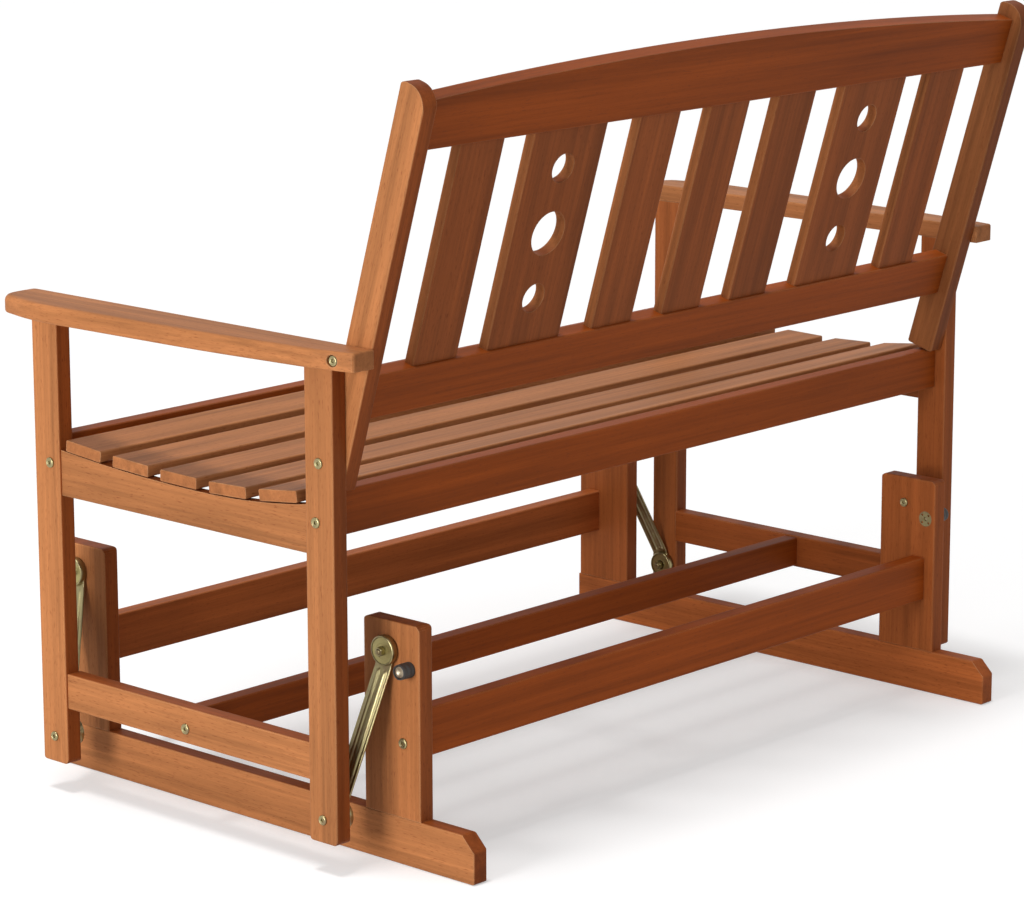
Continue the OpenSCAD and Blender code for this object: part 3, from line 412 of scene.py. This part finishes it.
def moulded_rubber():
    """Natural rubber moulded with carbon black: a matt dark brown-grey with a faint bloom."""
    metal = bpy.context.scene.glider_metal
    material, tree = new_material("moulded_black_rubber")
    place = add_node(tree, "ShaderNodeTexCoord", output="Object")
    bloom = add_node(tree, "ShaderNodeTexNoise", {"Scale": 1000 / BLOOM, "Detail": 3},
                     {"Vector": place}, "Fac")
    shine = add_node(tree, "ShaderNodeMath", {"operation": "MULTIPLY_ADD", 1: 0.2, 2: 0.5},
                     {0: bloom})
    finish_tree(tree, add_node(tree, "ShaderNodeBsdfPrincipled", {
        "Base Color": tuple(metal.rubber), "IOR": 1.52}, {"Roughness": shine}, "BSDF"))
    return material


def coat(names, material):
    """Gives every material slot of these CAD nodes one material."""
    for name in names:
        slots = CAD[name].material_slots
        if not slots:
            CAD[name].data.materials.append(material)
        for slot in slots:
            slot.material = material


def solids_of(name):
    """Lowest and highest corners of each separate solid of a CAD node.

    Points that lie together are joined, and every point takes the lowest label among the
    triangles it belongs to, over and over, until each solid has one label.
    """
    mesh = CAD[name].data
    spots = np.empty(len(mesh.vertices) * 3)
    mesh.vertices.foreach_get("co", spots)
    mesh.calc_loop_triangles()
    corners = np.empty(len(mesh.loop_triangles) * 3, dtype=np.int64)
    mesh.loop_triangles.foreach_get("vertices", corners)
    spots = spots.reshape(-1, 3)
    _, joined = np.unique(np.round(spots * 1e6).astype(np.int64), axis=0, return_inverse=True)
    joined = joined.reshape(-1)
    triangles = joined[corners].reshape(-1, 3)
    label = np.arange(joined.max() + 1)
    while True:
        lowest = label[triangles].min(axis=1)
        fresh = label.copy()
        np.minimum.at(fresh, triangles.reshape(-1), np.repeat(lowest, 3))
        fresh = fresh[fresh]
        if np.array_equal(fresh, label):
            break
        label = fresh
    owner = label[joined]
    groups = [spots[owner == one] for one in np.unique(owner)]
    return [(group.min(axis=0), group.max(axis=0)) for group in groups]


def net(grid):
    """Points and four-sided faces of a grid of points whose last column joins its first."""
    rows, columns = grid.shape[:2]
    i, j = np.meshgrid(np.arange(rows - 1), np.arange(columns), indexing="ij")
    k = (j + 1) % columns
    faces = np.stack([i * columns + j, i * columns + k, (i + 1) * columns + k,
                      (i + 1) * columns + j], axis=-1).reshape(-1, 4)
    return grid.reshape(-1, 3), faces


def shade(mesh):
    """Shades a mesh smooth, with sharp edges where its faces meet at more than the crease."""
    mesh.polygons.foreach_set("use_smooth", np.ones(len(mesh.polygons), dtype=bool))
    mesh.set_sharp_from_angle(angle=CREASE)


def make_piece(name, nets, material):
    """One mesh object from several nets, its doubles merged and its faces turned outwards."""
    points, faces, start = [], [], 0
    for spots, quads in nets:
        points.append(spots)
        faces.append(quads + start)
        start += len(spots)
    mesh = bpy.data.meshes.new(name)
    mesh.from_pydata(np.concatenate(points).tolist(), [], np.concatenate(faces).tolist())
    work = bmesh.new()
    work.from_mesh(mesh)
    bmesh.ops.remove_doubles(work, verts=work.verts, dist=2e-6)
    bmesh.ops.dissolve_degenerate(work, edges=work.edges, dist=1e-6)
    bmesh.ops.recalc_face_normals(work, faces=work.faces)
    work.to_mesh(mesh)
    work.free()
    shade(mesh)
    mesh.materials.append(material)
    piece = bpy.data.objects.new(name, mesh)
    bpy.context.scene.collection.objects.link(piece)
    return piece


def cut_away(piece, nets):
    """Takes closed shapes out of a piece, and leaves nothing of them behind."""
    tool = make_piece("tool", nets, piece.data.materials[0])
    cut = piece.modifiers.new("cut", "BOOLEAN")
    cut.operation, cut.solver, cut.object = "DIFFERENCE", "EXACT", tool
    bpy.context.view_layer.update()
    seen = piece.evaluated_get(bpy.context.evaluated_depsgraph_get())
    done = bpy.data.meshes.new_from_object(seen)
    piece.modifiers.remove(cut)
    old = piece.data
    piece.data = done
    done.name = piece.name
    shade(done)
    bpy.data.meshes.remove(old)
    bpy.data.objects.remove(tool)


def join(piece, other):
    """Adds another piece's closed shapes to a piece as they are, and removes the other piece."""
    work = bmesh.new()
    work.from_mesh(piece.data)
    work.from_mesh(other.data)
    bmesh.ops.remove_doubles(work, verts=work.verts, dist=1e-7)
    bmesh.ops.recalc_face_normals(work, faces=work.faces)
    work.to_mesh(piece.data)
    work.free()
    shade(piece.data)
    bpy.data.objects.remove(other)


def carry(piece, body, slot, *nodes):
    """Lets a piece ride on a body and stand for CAD nodes, which it hides. The slot is not used."""
    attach(piece, body)
    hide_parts(*nodes)


def round_line(origin, side, radius, reach, angle):
    """Rings round a line along X, from radius and reach in millimetres and an origin in metres.

    A ring's points lie at the radius times the cosine and sine of the angle. Reach runs along X
    from the origin, away from the middle for side 1 and towards it for -1.
    """
    grid = np.stack([side * reach + 0 * angle, radius * np.cos(angle), radius * np.sin(angle)],
                    axis=-1)
    return net(grid / 1000 + np.array(origin))


def turned(profile, origin, side=1, segments=48):
    """A turned shape round a line along X, from a profile of (radius, reach) in millimetres."""
    radius, reach = np.array(profile).T[:, :, None]
    angle = np.linspace(0, 2 * math.pi, segments, endpoint=False)
    return round_line(origin, side, radius, reach, angle)


def bearing_profile(bore, widest=6.4):
    """Radius and reach of a bearing: hub, flange, flat cover with a fine ring, and bore.

    The cover's ring stays outside the widest bore, so that all bearings look alike.
    """
    return [(bore, -1.7), (8.5, -1.7), (8.8, -1.4), (8.8, 3.0), (15.6, 3.0), (15.7, 3.1),
            (15.7, 7.1), (15.4, 7.45), (14.6, 7.5), (14.3, 7.4), (14.0, 7.4), (9.4, 7.5),
            (9.2, 7.35), (8.8, 7.35), (8.6, 7.5), (widest + 0.6, 7.5),
            (bore + 0.3, 7.5), (bore, 7.2), (bore, -1.7)]


def copy_of(piece, name, place):
    """A copy of a piece with its place worked into its mesh, and its faces outwards."""
    mesh = piece.data.copy()
    mesh.name = name
    mesh.transform(place)
    if place.determinant() < 0:
        mesh.flip_normals()
    made = bpy.data.objects.new(name, mesh)
    bpy.context.scene.collection.objects.link(made)
    return made


def faceted(rows, origin, side=1, segments=60):
    """A shape round a line along X whose rings run from hexagons to circles.

    Each row is (hexagon width over corners, largest radius, reach): the radius at an angle is the
    hexagon's there, half its width over flats over the cosine of the angle from the nearest flat's
    middle, but never more than the largest radius.
    """
    across, most, reach = np.array(rows).T[:, :, None]
    angle = np.linspace(0, 2 * math.pi, segments, endpoint=False)
    from_flat = (angle + math.pi / 6) % (math.pi / 3) - math.pi / 6
    radius = np.minimum(across / 2 * math.cos(math.pi / 6) / np.cos(from_flat), most)
    return round_line(origin, side, radius, reach, angle)


def socket_bolt(origin, side, length, head, thickness, shank):
    """A bolt: hexagon socket, dished centre, flat ring, rounded rim, shank and chamfered end."""
    far, r, t = 99, head / 2, thickness
    return faceted([
        (0.01, far, t - 2.1), (4.4, far, t - 2.1), (4.9, far, t - 0.75), (5.6, far, t - 0.55),
        (far, 3.3, t - 0.5), (far, 3.75, t - 0.42), (far, 4.1, t - 0.05), (far, 4.3, t),
        (far, r - 1.6, t), (far, r - 1.0, t - 0.15), (far, r - 0.4, t - 0.6),
        (far, r - 0.08, t - 1.2), (far, r, t - 1.7), (far, r, 0), (far, shank, 0),
        (far, shank, 1 - length), (far, shank - 0.8, -length), (far, 0.001, -length)],
        origin, side)


def hexagon_nut(origin, side, across, height, bore):
    """A nut: hexagon prism with its corners turned away by a 30 degree cone at both ends."""
    far, r = 99, across / 2
    return faceted([
        (far, bore, 0.4), (far, bore + 0.4, 0), (far, r * 0.87, 0), (across, r * 0.93, 0.25),
        (across, r, 0.7), (across, r, height - 0.7), (across, r * 0.93, height - 0.25),
        (far, r * 0.87, height), (far, bore + 0.4, height), (far, bore, height - 0.4),
        (far, bore, 0.4)], origin, side)


def threaded_rod(origin, side, start, end, radius, pitch=1.0, depth=0.28, segments=48):
    """A screw thread's end: the radius follows a triangle wave that climbs one pitch a turn.

    Over the last 0.7 mm the radius shrinks evenly to 0.78 of itself. Eight rings make a pitch.
    """
    angle = np.linspace(0, 2 * math.pi, segments, endpoint=False)
    reach = np.linspace(start, end, max(6, int((end - start) / pitch * 8)))[:, None]
    wave = np.abs(((reach / pitch - angle / (2 * math.pi)) % 1) * 2 - 1)
    fade = np.clip((end - reach) / 0.7, 0, 1)
    thread = (radius - depth * wave) * (0.78 + 0.22 * fade)
    pole = np.full((1, segments), 0.001)
    return round_line(origin, side, np.concatenate([pole, thread, pole]),
                      np.concatenate([reach[:1], reach, reach[-1:]]), angle)


def soft_step(z, start, end, blend):
    """0 before start and 1 after end, with a straight slope between and parabolas at both bends."""
    def ease(t):
        return np.where(t < -blend, 0, np.where(t > blend, t, (t + blend) ** 2 / (4 * blend)))
    return (ease(z - start) - ease(z - end)) / (end - start)


def pressed_link(sizes):
    """A pressed swing link: plate with two discs, bent twice, with two beads pressed into its arm.

    Down the link, the half width is a circle's beyond each pivot. Between the pivots it is the
    twelfth root of the sum of the circle's and the arm's twelfth powers, which blends the two. The
    plate steps out between the discs by a straight slope with rounded bends. Each bead raises the
    plate by (1 - (distance / half width of the bead) squared) to the power 1.4, over the distance
    from the bead's centre line. Both faces and the rounded edges make one closed loop at each
    height.
    """
    long, step, disc, arm, plate, bead = sizes
    bend, run_out, bead_half, bead_rise, back_share, columns = 4.5, 9, 4.1, 2.0, 0.8, 81
    quarter = np.linspace(0, math.pi / 2, 22)
    upper, lower = disc * np.cos(quarter), -long - disc * np.sin(quarter)
    down = np.concatenate([upper, np.linspace(0, -long, 121)[1:-1], lower])
    beyond = np.maximum(down, -long - down)
    circle = np.sqrt(np.clip(disc ** 2 - np.where(beyond > 0, beyond, np.minimum(
        np.abs(down), np.abs(down + long))) ** 2, 0, None))
    half = np.where(beyond > 0, circle, (circle ** 12 + arm ** 12) ** (1 / 12))
    out = step * soft_step(-down, disc, long - disc, bend)

    across, flat = np.linspace(-1, 1, columns), np.ones(columns)
    rim = np.radians(np.array([60, 30, 0, -30, -60]))
    side = np.ones(len(rim))
    share = np.concatenate([across, side, across[::-1], -side])
    face = np.concatenate([flat, np.sin(rim), -flat, -np.sin(rim)])
    bulge = np.concatenate([0 * flat, np.cos(rim), 0 * flat, -np.cos(rim)])
    edge = np.minimum(plate / 2, half)[:, None] / 2
    wide = share * np.maximum(half[:, None] - edge, 0) + bulge * edge
    beaded = np.clip(down, -long + disc + run_out, -disc - run_out)[:, None]
    rise = 0
    for place in (-bead, bead):
        apart = np.hypot(wide - place, down[:, None] - beaded)
        rise = rise + bead_rise * np.clip(1 - (apart / bead_half) ** 2, 0, None) ** 1.4
    lift = plate / 2 + face * plate / 2 + rise * np.where(face > -0.99, 1, back_share)
    x, z = out[:, None] + lift, down[:, None] + 0 * wide
    return net(np.stack([x, wide, z], axis=-1) / 1000)


def rounded_outline(corners, steps):
    """A closed outline through corners (x, y, radius), each rounded by an arc of so many steps.

    An arc's points turn evenly from one tangent point to the other about its centre, which lies
    on the corner's bisector at the radius over the sine of half the corner's angle.
    """
    spots = []
    for a, b, c in zip(np.roll(corners, 1, axis=0), corners, np.roll(corners, -1, axis=0)):
        u, v = (a - b)[:2], (c - b)[:2]
        u, v = u / np.hypot(*u), v / np.hypot(*v)
        half = math.acos(u @ v) / 2
        centre = b[:2] + (u + v) / np.hypot(*(u + v)) * b[2] / math.sin(half)
        first = b[:2] + u * b[2] / math.tan(half) - centre
        last = b[:2] + v * b[2] / math.tan(half) - centre
        start = math.atan2(first[1], first[0])
        sweep = (math.atan2(last[1], last[0]) - start + math.pi) % (2 * math.pi) - math.pi
        angle = start + sweep * np.linspace(0, 1, steps + 1)[:, None]
        spots.append(centre + b[2] * np.hstack([np.cos(angle), np.sin(angle)]))
    return np.concatenate(spots)


def softened_board(corners, low, high, top_soft, foot_soft, spine):
    """A flat board with a rounded rim, from its plan corners (x, y, radius, softness).

    Each rim point goes round a quarter circle at the top edge and another at the foot, moving in
    along the outline's normal by the softness times one minus the cosine. The flat faces run on
    from the rim to a line along the middle, from spine's x, first y and last y.
    """
    steps, count, blur = 10, 480, 8
    plan = np.array(corners)
    spots = rounded_outline(plan[:, :3], steps)
    soft = np.repeat(plan[:, 3], steps + 1)
    gap = np.hypot(*(np.roll(spots, -1, axis=0) - spots).T)
    length = np.concatenate([[0], np.cumsum(gap)])
    place = np.linspace(0, length[-1], count, endpoint=False)
    ring = np.stack([np.interp(place, length, np.append(column, column[0]))
                     for column in (spots[:, 0], spots[:, 1], soft)], axis=-1)
    spots, soft = ring[:, :2], ring[:, 2]
    soft = np.convolve(np.concatenate([soft[-blur:], soft, soft[:blur]]),
                       np.ones(2 * blur + 1) / (2 * blur + 1), "valid")
    ahead = np.roll(spots, -1, axis=0) - np.roll(spots, 1, axis=0)
    inward = np.stack([-ahead[:, 1], ahead[:, 0]], axis=-1) / np.hypot(*ahead.T)[:, None]
    middle = np.stack([np.full(count, spine[0]), np.clip(spots[:, 1], *spine[1:])], axis=-1)

    turn = np.radians(np.linspace(90, 0, 9))[:, None]
    rows = []
    for height, amount, sign in ((high, top_soft, 1), (low, foot_soft, -1)):
        reach = soft * amount
        inset = spots + inward[None] * (reach * (1 - np.cos(turn)))[..., None]
        level = height - sign * reach * (1 - np.sin(turn))
        flat = [np.dstack([(middle + (inset[0] - middle) * share)[None],
                           np.full((1, count), height)]) for share in (0, 0.35, 0.7, 0.9)]
        block = np.concatenate([*flat, np.dstack([inset, level])])
        rows.append(block if sign > 0 else block[::-1])
    return net(np.concatenate(rows) / 1000)


class GLIDER_OT_boards(bpy.types.Operator):
    """Gives every board its hardwood, with the grain along it"""

    bl_idname = "glider.boards"
    bl_label = "Boards"

    def execute(self, context):
        wood = context.scene.glider_wood
        turns = {
            "across": (ACROSS, (0, 0, 0)),
            "lengthwise": (LENGTHWISE, (0, 0, math.radians(-90))),
            "upright": (UPRIGHT, (0, math.radians(90), 0)),
            "leaning": (LEANING, (LEAN, math.radians(90), 0)),
        }
        for way, (names, turn) in turns.items():
            for i, name in enumerate(names):
                # russet here is partly the boards' own tone and partly painted shade
                russet_and_painted_shade = RUSSET_AND_PAINTED_SHADE.get(name, 0)
                colour = np.array(wood.honey) * (1 - russet_and_painted_shade) + np.array(wood.russet_and_painted_shade) * russet_and_painted_shade
                # far enough apart that no two boards show the same piece of the patterns
                shift = (7.3 * i, 3.1 * i, 5.7 * i)
                darkest = 0.66 + 0.06 * russet_and_painted_shade
                # painted shade on faces that look neither left nor right: none across the grain or
                # on armrests
                painted_shade_amount = 0 if way == "across" or "armrest" in name else 1 - russet_and_painted_shade
                coat([name], oiled_hardwood(
                    f"oiled_hardwood_{way}_{i}", turn, shift,
                    tuple(colour * TONES.get(name, 1)), darkest, painted_shade_amount))
        return {"FINISHED"}


class GLIDER_OT_links(bpy.types.Operator):
    """Makes the four pressed swing links with their bearing cups, and the bearings in them"""

    bl_idname = "glider.links"
    bl_label = "Swing links"

    def execute(self, context):
        made = context.scene.glider_links
        sizes = (made.long, made.step, made.disc, made.arm, made.plate, made.bead)
        zinc = yellow_zinc_plating("yellow_zinc_plated_pressed_steel",
                                   context.scene.glider_metal.plating)
        steel = ground_steel()
        near, far = (0, 0, 0), ((made.step + made.plate) / 1000, 0, -made.long / 1000)
        # radius and reach of the hole that takes the bearing's hub, and of the cup's wall
        hub = [(0.001, -3), (9.0, -3), (9.0, 12), (0.001, 12)]
        cup = [(16, 0.2), (16.2, 0), (17.4, 0), (17.8, 0.25), (18, 0.8), (18, 6.6), (17.7, 7.4),
               (17.1, 7.85), (16.4, 8), (16, 7.9), (16, 0.2)]
        running_fit, loose_fit = 3.06, 6.4
        pattern = make_piece("pressed_link", [pressed_link(sizes)], zinc)
        cut_away(pattern, [turned(hub, near), turned(hub, far, -1)])
        join(pattern, make_piece("cups", [turned(cup, near), turned(cup, far, -1)], zinc))
        feet = [(low + high) / 2 for low, high in solids_of("lower_pivot_nuts")]
        for way, end, bore in (("front", min, loose_fit), ("rear", max, running_fit)):
            pivot = JOINTS[f"{way}_swing"]["pos_m"]
            foot = end(feet, key=lambda middle: middle[1])
            lean = math.atan2(foot[1] - pivot[1], pivot[2] - foot[2])
            bearing = make_piece("bearing", [
                turned(bearing_profile(running_fit), near),
                turned(bearing_profile(bore), far, -1)], steel)
            pairs = []
            for hand, side in SIDES.items():
                name = f"{hand}_{way}_link"
                low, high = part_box(name)
                inner = low[0] if side > 0 else high[0]
                place = Matrix.Translation((inner, pivot[1], pivot[2])) @ Matrix.Diagonal(
                    (side, 1, 1, 1)) @ Matrix.Rotation(lean, 4, "X")
                piece = copy_of(pattern, f"pressed_{name}", place)
                carry(piece, f"{way}_links", "zinc_plated_steel", name)
                pairs.append(copy_of(bearing, f"{hand}_{way}_ball_bearings", place))
            join(*pairs)
            pairs[0].name = f"{way}_ball_bearings"
            carry(pairs[0], f"{way}_links", "bearing_steel", f"{way}_bearings")
            bpy.data.objects.remove(bearing)
        bpy.data.objects.remove(pattern)
        return {"FINISHED"}


class GLIDER_OT_bolts(bpy.types.Operator):
    """Makes the connector bolts, the pivot bolts and the pivot nuts"""

    bl_idname = "glider.bolts"
    bl_label = "Bolts and nuts"

    def execute(self, context):
        zinc = CAD["base_bolts"].material_slots[0].material
        # widths over the heads and nuts, thickness of the pivot bolts' heads, and radii
        head, pivot_head, pivot_thickness, nut = 13, 12, 2.8, 12
        shank, thread, nut_bore = 3, 2.98, 3.05
        threaded, overlap = 9, 0.2
        for node, body in (("base_bolts", "base"), ("seat_bolts", "seat")):
            self.make(node, body, zinc, lambda place, side, long: [
                socket_bolt(place, side, long, head, HEAD, shank)], HEAD, 1)
        for node, body, facing in (("upper_pivot_bolts", "base", -1),
                                   ("lower_pivot_bolts", "seat", 1)):
            self.make(node, body, zinc, lambda place, side, long: [
                socket_bolt(place, side, long - threaded, pivot_head, pivot_thickness, shank),
                threaded_rod(place, -side, long - threaded - overlap, long, thread)],
                pivot_thickness, facing)
        for node, body in (("upper_pivot_nuts", "base"), ("lower_pivot_nuts", "seat")):
            self.make(node, body, zinc, lambda place, side, long: [
                hexagon_nut(place, -side, nut, long, nut_bore)], 0, 1)
        return {"FINISHED"}

    def make(self, node, body, material, shape, thickness, facing):
        """Makes the pieces of one node, each from the box of its solid.

        Heads face out for facing 1 and in for -1, and a piece starts under its head.
        """
        nets = []
        for low, high in solids_of(node):
            middle, side = (low + high) / 2, math.copysign(1, facing * low[0])
            tip = high[0] if side > 0 else low[0]
            place = (tip - side * thickness / 1000, middle[1], middle[2])
            nets += shape(place, side, (high[0] - low[0]) * 1000 - thickness)
        carry(make_piece(node[:-1] + "_group", nets, material), body, "zinc_plated_steel", node)


class GLIDER_OT_bumpers(bpy.types.Operator):
    """Makes the two rubber bumpers, each with its dished washer head in a recess"""

    bl_idname = "glider.bumpers"
    bl_label = "Bumpers"

    def execute(self, context):
        rubber = CAD["bumpers"].material_slots[0].material
        pale = CAD["bumper_screws"].material_slots[0].material
        # radius and reach: a buffer with two shallow grooves and a recess, and a screw with a
        # dished washer head
        buffer = [(2.7, 0), (9.0, 0), (9.3, 0.4), (9.35, 4.4), (9.1, 4.9), (9.1, 5.3), (9.35, 5.8),
                  (9.3, 11.4), (9.0, 11.9), (9.0, 12.3), (9.25, 12.8), (9.1, 17.2), (8.9, 18.0),
                  (8.4, 18.45), (8.0, 18.5), (7.6, 18.2), (7.4, 17.6), (7.3, 15.2), (2.7, 15.2),
                  (2.7, 0)]
        head = [(0.001, 15.7), (1.4, 15.7), (1.9, 15.9), (2.7, 16.9), (3.1, 17.1), (5.8, 17.3),
                (6.5, 17.2), (6.9, 16.7), (6.9, 15.3), (2.5, 15.2), (2.5, -19), (0.001, -19)]
        places = []
        for low, high in solids_of("bumpers"):
            middle, side = (low + high) / 2, math.copysign(1, low[0])
            places.append(((low[0] if side > 0 else high[0], middle[1], middle[2]), side))
        for node, name, profile, material, slot in (
                ("bumpers", "moulded_bumpers", buffer, rubber, "bumper_rubber"),
                ("bumper_screws", "bumper_washer_screws", head, pale, "zinc_plated_steel")):
            nets = [turned(profile, place, side) for place, side in places]
            carry(make_piece(name, nets, material), "base", slot, node)
        return {"FINISHED"}


class GLIDER_OT_arms(bpy.types.Operator):
    """Makes the two armrests: straight inside, bowed outside, with softly rounded upper edges"""

    bl_idname = "glider.arms"
    bl_label = "Armrests"

    def execute(self, context):
        made = context.scene.glider_arms
        low, high = (np.array(corner) * 1000 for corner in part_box("left_armrest"))
        inner, rear, foot_softness = low[0], high[1], 2.2
        # corners of the left armrest: x, y, radius, and softness as a share of the edges'
        plan = [
            (inner, made.front + 3, 6, 0.5), (inner + 28, made.front, 60, 1),
            (made.reach - 17, made.front, 21, 1.6), (made.reach, made.front + 80, 330, 1),
            (made.reach - 9, 50, 2000, 1), (made.reach - 23.5, rear - 54.5, 60, 1),
            (inner + 33.5, rear, 4, 0.6), (inner, rear, 1.5, 0.3)]
        pattern = make_piece("armrest", [softened_board(
            plan, low[2], high[2], made.softness, foot_softness,
            (inner + 22, made.front + 30, rear - 20))],
            CAD["left_armrest"].material_slots[0].material)
        # the highest connector bolt goes into the armrest's side: radius and reach of its hole
        hole = [(0.001, -50), (3.2, -50), (3.2, 0), (7, 0), (7, 60), (0.001, 60)]
        start, end = max(solids_of("seat_bolts"), key=lambda box: box[1][2])
        face = max(abs(start[0]), abs(end[0])) - HEAD / 1000
        middle = (start + end) / 2
        cut_away(pattern, [turned(hole, (face, middle[1], middle[2]))])
        for hand, side in SIDES.items():
            name = f"{hand}_armrest"
            piece = copy_of(pattern, f"softened_{name}", Matrix.Diagonal((side, 1, 1, 1)))
            piece.data.materials[0] = CAD[name].material_slots[0].material
            carry(piece, "seat", "oiled_hardwood", name)
        bpy.data.objects.remove(pattern)
        return {"FINISHED"}


class GLIDER_OT_fittings(bpy.types.Operator):
    """Gives the links, bearings, bolts, nuts, screws and bumpers their metal and rubber"""

    bl_idname = "glider.fittings"
    bl_label = "Fittings"

    def execute(self, context):
        metal = context.scene.glider_metal
        fittings = ("_link", "_bearings", "bolts", "nuts", "screws")
        coat([name for name in CAD if name.endswith(fittings)],
             yellow_zinc_plating("yellow_zinc_plated_turned_steel", metal.plating))
        coat(["bumper_screws"], yellow_zinc_plating("pale_zinc_plated_turned_steel", metal.pale))
        coat(["bumpers"], moulded_rubber())
        return {"FINISHED"}


class GLIDER_OT_stage(bpy.types.Operator):
    """Makes the floor, the lamps, the world and the camera"""

    bl_idname = "glider.stage"
    bl_label = "Stage"

    def execute(self, context):
        stage = context.scene.glider_stage
        # the floor lies a hair under the sled, and glows a little for the camera and for gloss,
        # so that it comes out white and keeps the shadow
        half, level, glow = 40.0, -0.0004, 0.4
        mesh = bpy.data.meshes.new("floor")
        mesh.from_pydata([(-half, -half, level), (half, -half, level), (half, half, level),
                          (-half, half, level)], [], [(0, 1, 2, 3)])
        floor = bpy.data.objects.new("floor", mesh)
        context.scene.collection.objects.link(floor)
        material, tree = new_material("matt_white_studio_floor")
        lit = add_node(tree, "ShaderNodeMath", {"operation": "MULTIPLY", 1: glow},
                       {0: self.seen_directly(tree)})
        finish_tree(tree, add_node(tree, "ShaderNodeBsdfPrincipled", {
            "Base Color": tuple(stage.floor), "Roughness": 0.9, "Emission Color": (1, 1, 1),
            "Specular IOR Level": 0.0}, {"Emission Strength": lit}, "BSDF"))
        mesh.materials.append(material)

        sun = bpy.data.lights.new("top_light", "SUN")
        sun.energy = stage.top
        sun.angle = math.radians(11)
        soft = bpy.data.lights.new("side_light", "AREA")
        soft.energy = stage.side
        soft.shape = "RECTANGLE"
        soft.size, soft.size_y = 1.3, 1.3
        # each lamp stands at its spot and shines away from its back
        for lamp, spot, back in ((sun, (0, 0, 3), (0.15, -0.02, 1.0)),
                                 (soft, (4.0, 0.3, 0.95), (4.0, 0.0, 0.55))):
            holder = bpy.data.objects.new(lamp.name, lamp)
            facing = Vector(back).to_track_quat("Z", "Y").to_matrix().to_4x4()
            holder.matrix_world = Matrix.Translation(spot) @ facing
            context.scene.collection.objects.link(holder)

        world = bpy.data.worlds.new("soft_studio")
        context.scene.world = world
        world.use_nodes = True
        tree = world.node_tree
        tree.nodes.clear()
        level = add_node(tree, "ShaderNodeMapRange", {"To Min": stage.fill, "To Max": 1.0},
                         {"Value": self.seen_directly(tree)})
        light = add_node(tree, "ShaderNodeBackground", {"Color": (1, 1, 1)}, {"Strength": level})
        tree.links.new(light, tree.nodes.new("ShaderNodeOutputWorld").inputs["Surface"])

        # the camera as it was solved from the photograph's edges and corners
        yaw, pitch, roll = math.radians(-132.70), math.radians(-12.62), math.radians(-0.12)
        ahead = Vector((math.sin(yaw) * math.cos(pitch), math.cos(yaw) * math.cos(pitch),
                        math.sin(pitch)))
        right = ahead.cross(Vector((0, 0, 1))).normalized()
        up = right.cross(ahead)
        side = right * math.cos(roll) + up * math.sin(roll)
        rise = up * math.cos(roll) - right * math.sin(roll)
        lens = bpy.data.cameras.new("camera")
        lens.lens = stage.lens
        lens.sensor_width = 36
        lens.clip_end = 200
        camera = bpy.data.objects.new("camera", lens)
        camera.matrix_world = Matrix((side, rise, -ahead)).transposed().to_4x4()
        camera.location = (3.518, 3.201, 1.440)
        context.scene.collection.objects.link(camera)
        context.scene.camera = camera
        context.scene.view_settings.view_transform = "Standard"
        return {"FINISHED"}

    def seen_directly(self, tree):
        """1 for what the camera sees, also in gloss or through glass, and 0 for all other rays."""
        path = add_node(tree, "ShaderNodeLightPath").node
        seen = path.outputs["Is Camera Ray"]
        for ray in ("Is Glossy Ray", "Is Transmission Ray"):
            seen = add_node(tree, "ShaderNodeMath", {"operation": "MAXIMUM"},
                            {0: seen, 1: path.outputs[ray]})
        return seen


class GLIDER_PT_panel(bpy.types.Panel):
    """The glider's pieces, in the sidebar"""

    bl_idname = "GLIDER_PT_panel"
    bl_label = "Glider"
    bl_space_type = "VIEW_3D"
    bl_region_type = "UI"
    bl_category = "Glider"

    def draw(self, context):
        for operator in OPERATORS:
            self.layout.operator(operator.bl_idname)
        for group in (getattr(context.scene, name) for name in GROUPS):
            for key in group.bl_rna.properties.keys():
                if key not in ("rna_type", "name"):
                    self.layout.prop(group, key)


GROUPS = {
    "glider_wood": GliderWood, "glider_metal": GliderMetal, "glider_links": GliderLinks,
    "glider_arms": GliderArms, "glider_stage": GliderStage,
}
OPERATORS = (
    GLIDER_OT_stage, GLIDER_OT_boards, GLIDER_OT_fittings, GLIDER_OT_links, GLIDER_OT_bolts,
    GLIDER_OT_bumpers, GLIDER_OT_arms,
)


def register():
    for name, group in GROUPS.items():
        bpy.utils.register_class(group)
        setattr(bpy.types.Scene, name, bpy.props.PointerProperty(type=group))
    for item in (*OPERATORS, GLIDER_PT_panel):
        bpy.utils.register_class(item)


def unregister():
    for item in (GLIDER_PT_panel, *reversed(OPERATORS)):
        bpy.utils.unregister_class(item)
    for name, group in GROUPS.items():
        delattr(bpy.types.Scene, name)
        bpy.utils.unregister_class(group)


def main():
    """Makes the whole look."""
    register()
    for operator in OPERATORS:
        group, name = operator.bl_idname.split(".")
        getattr(getattr(bpy.ops, group), name)()


if __name__ == "__main__":
    main()
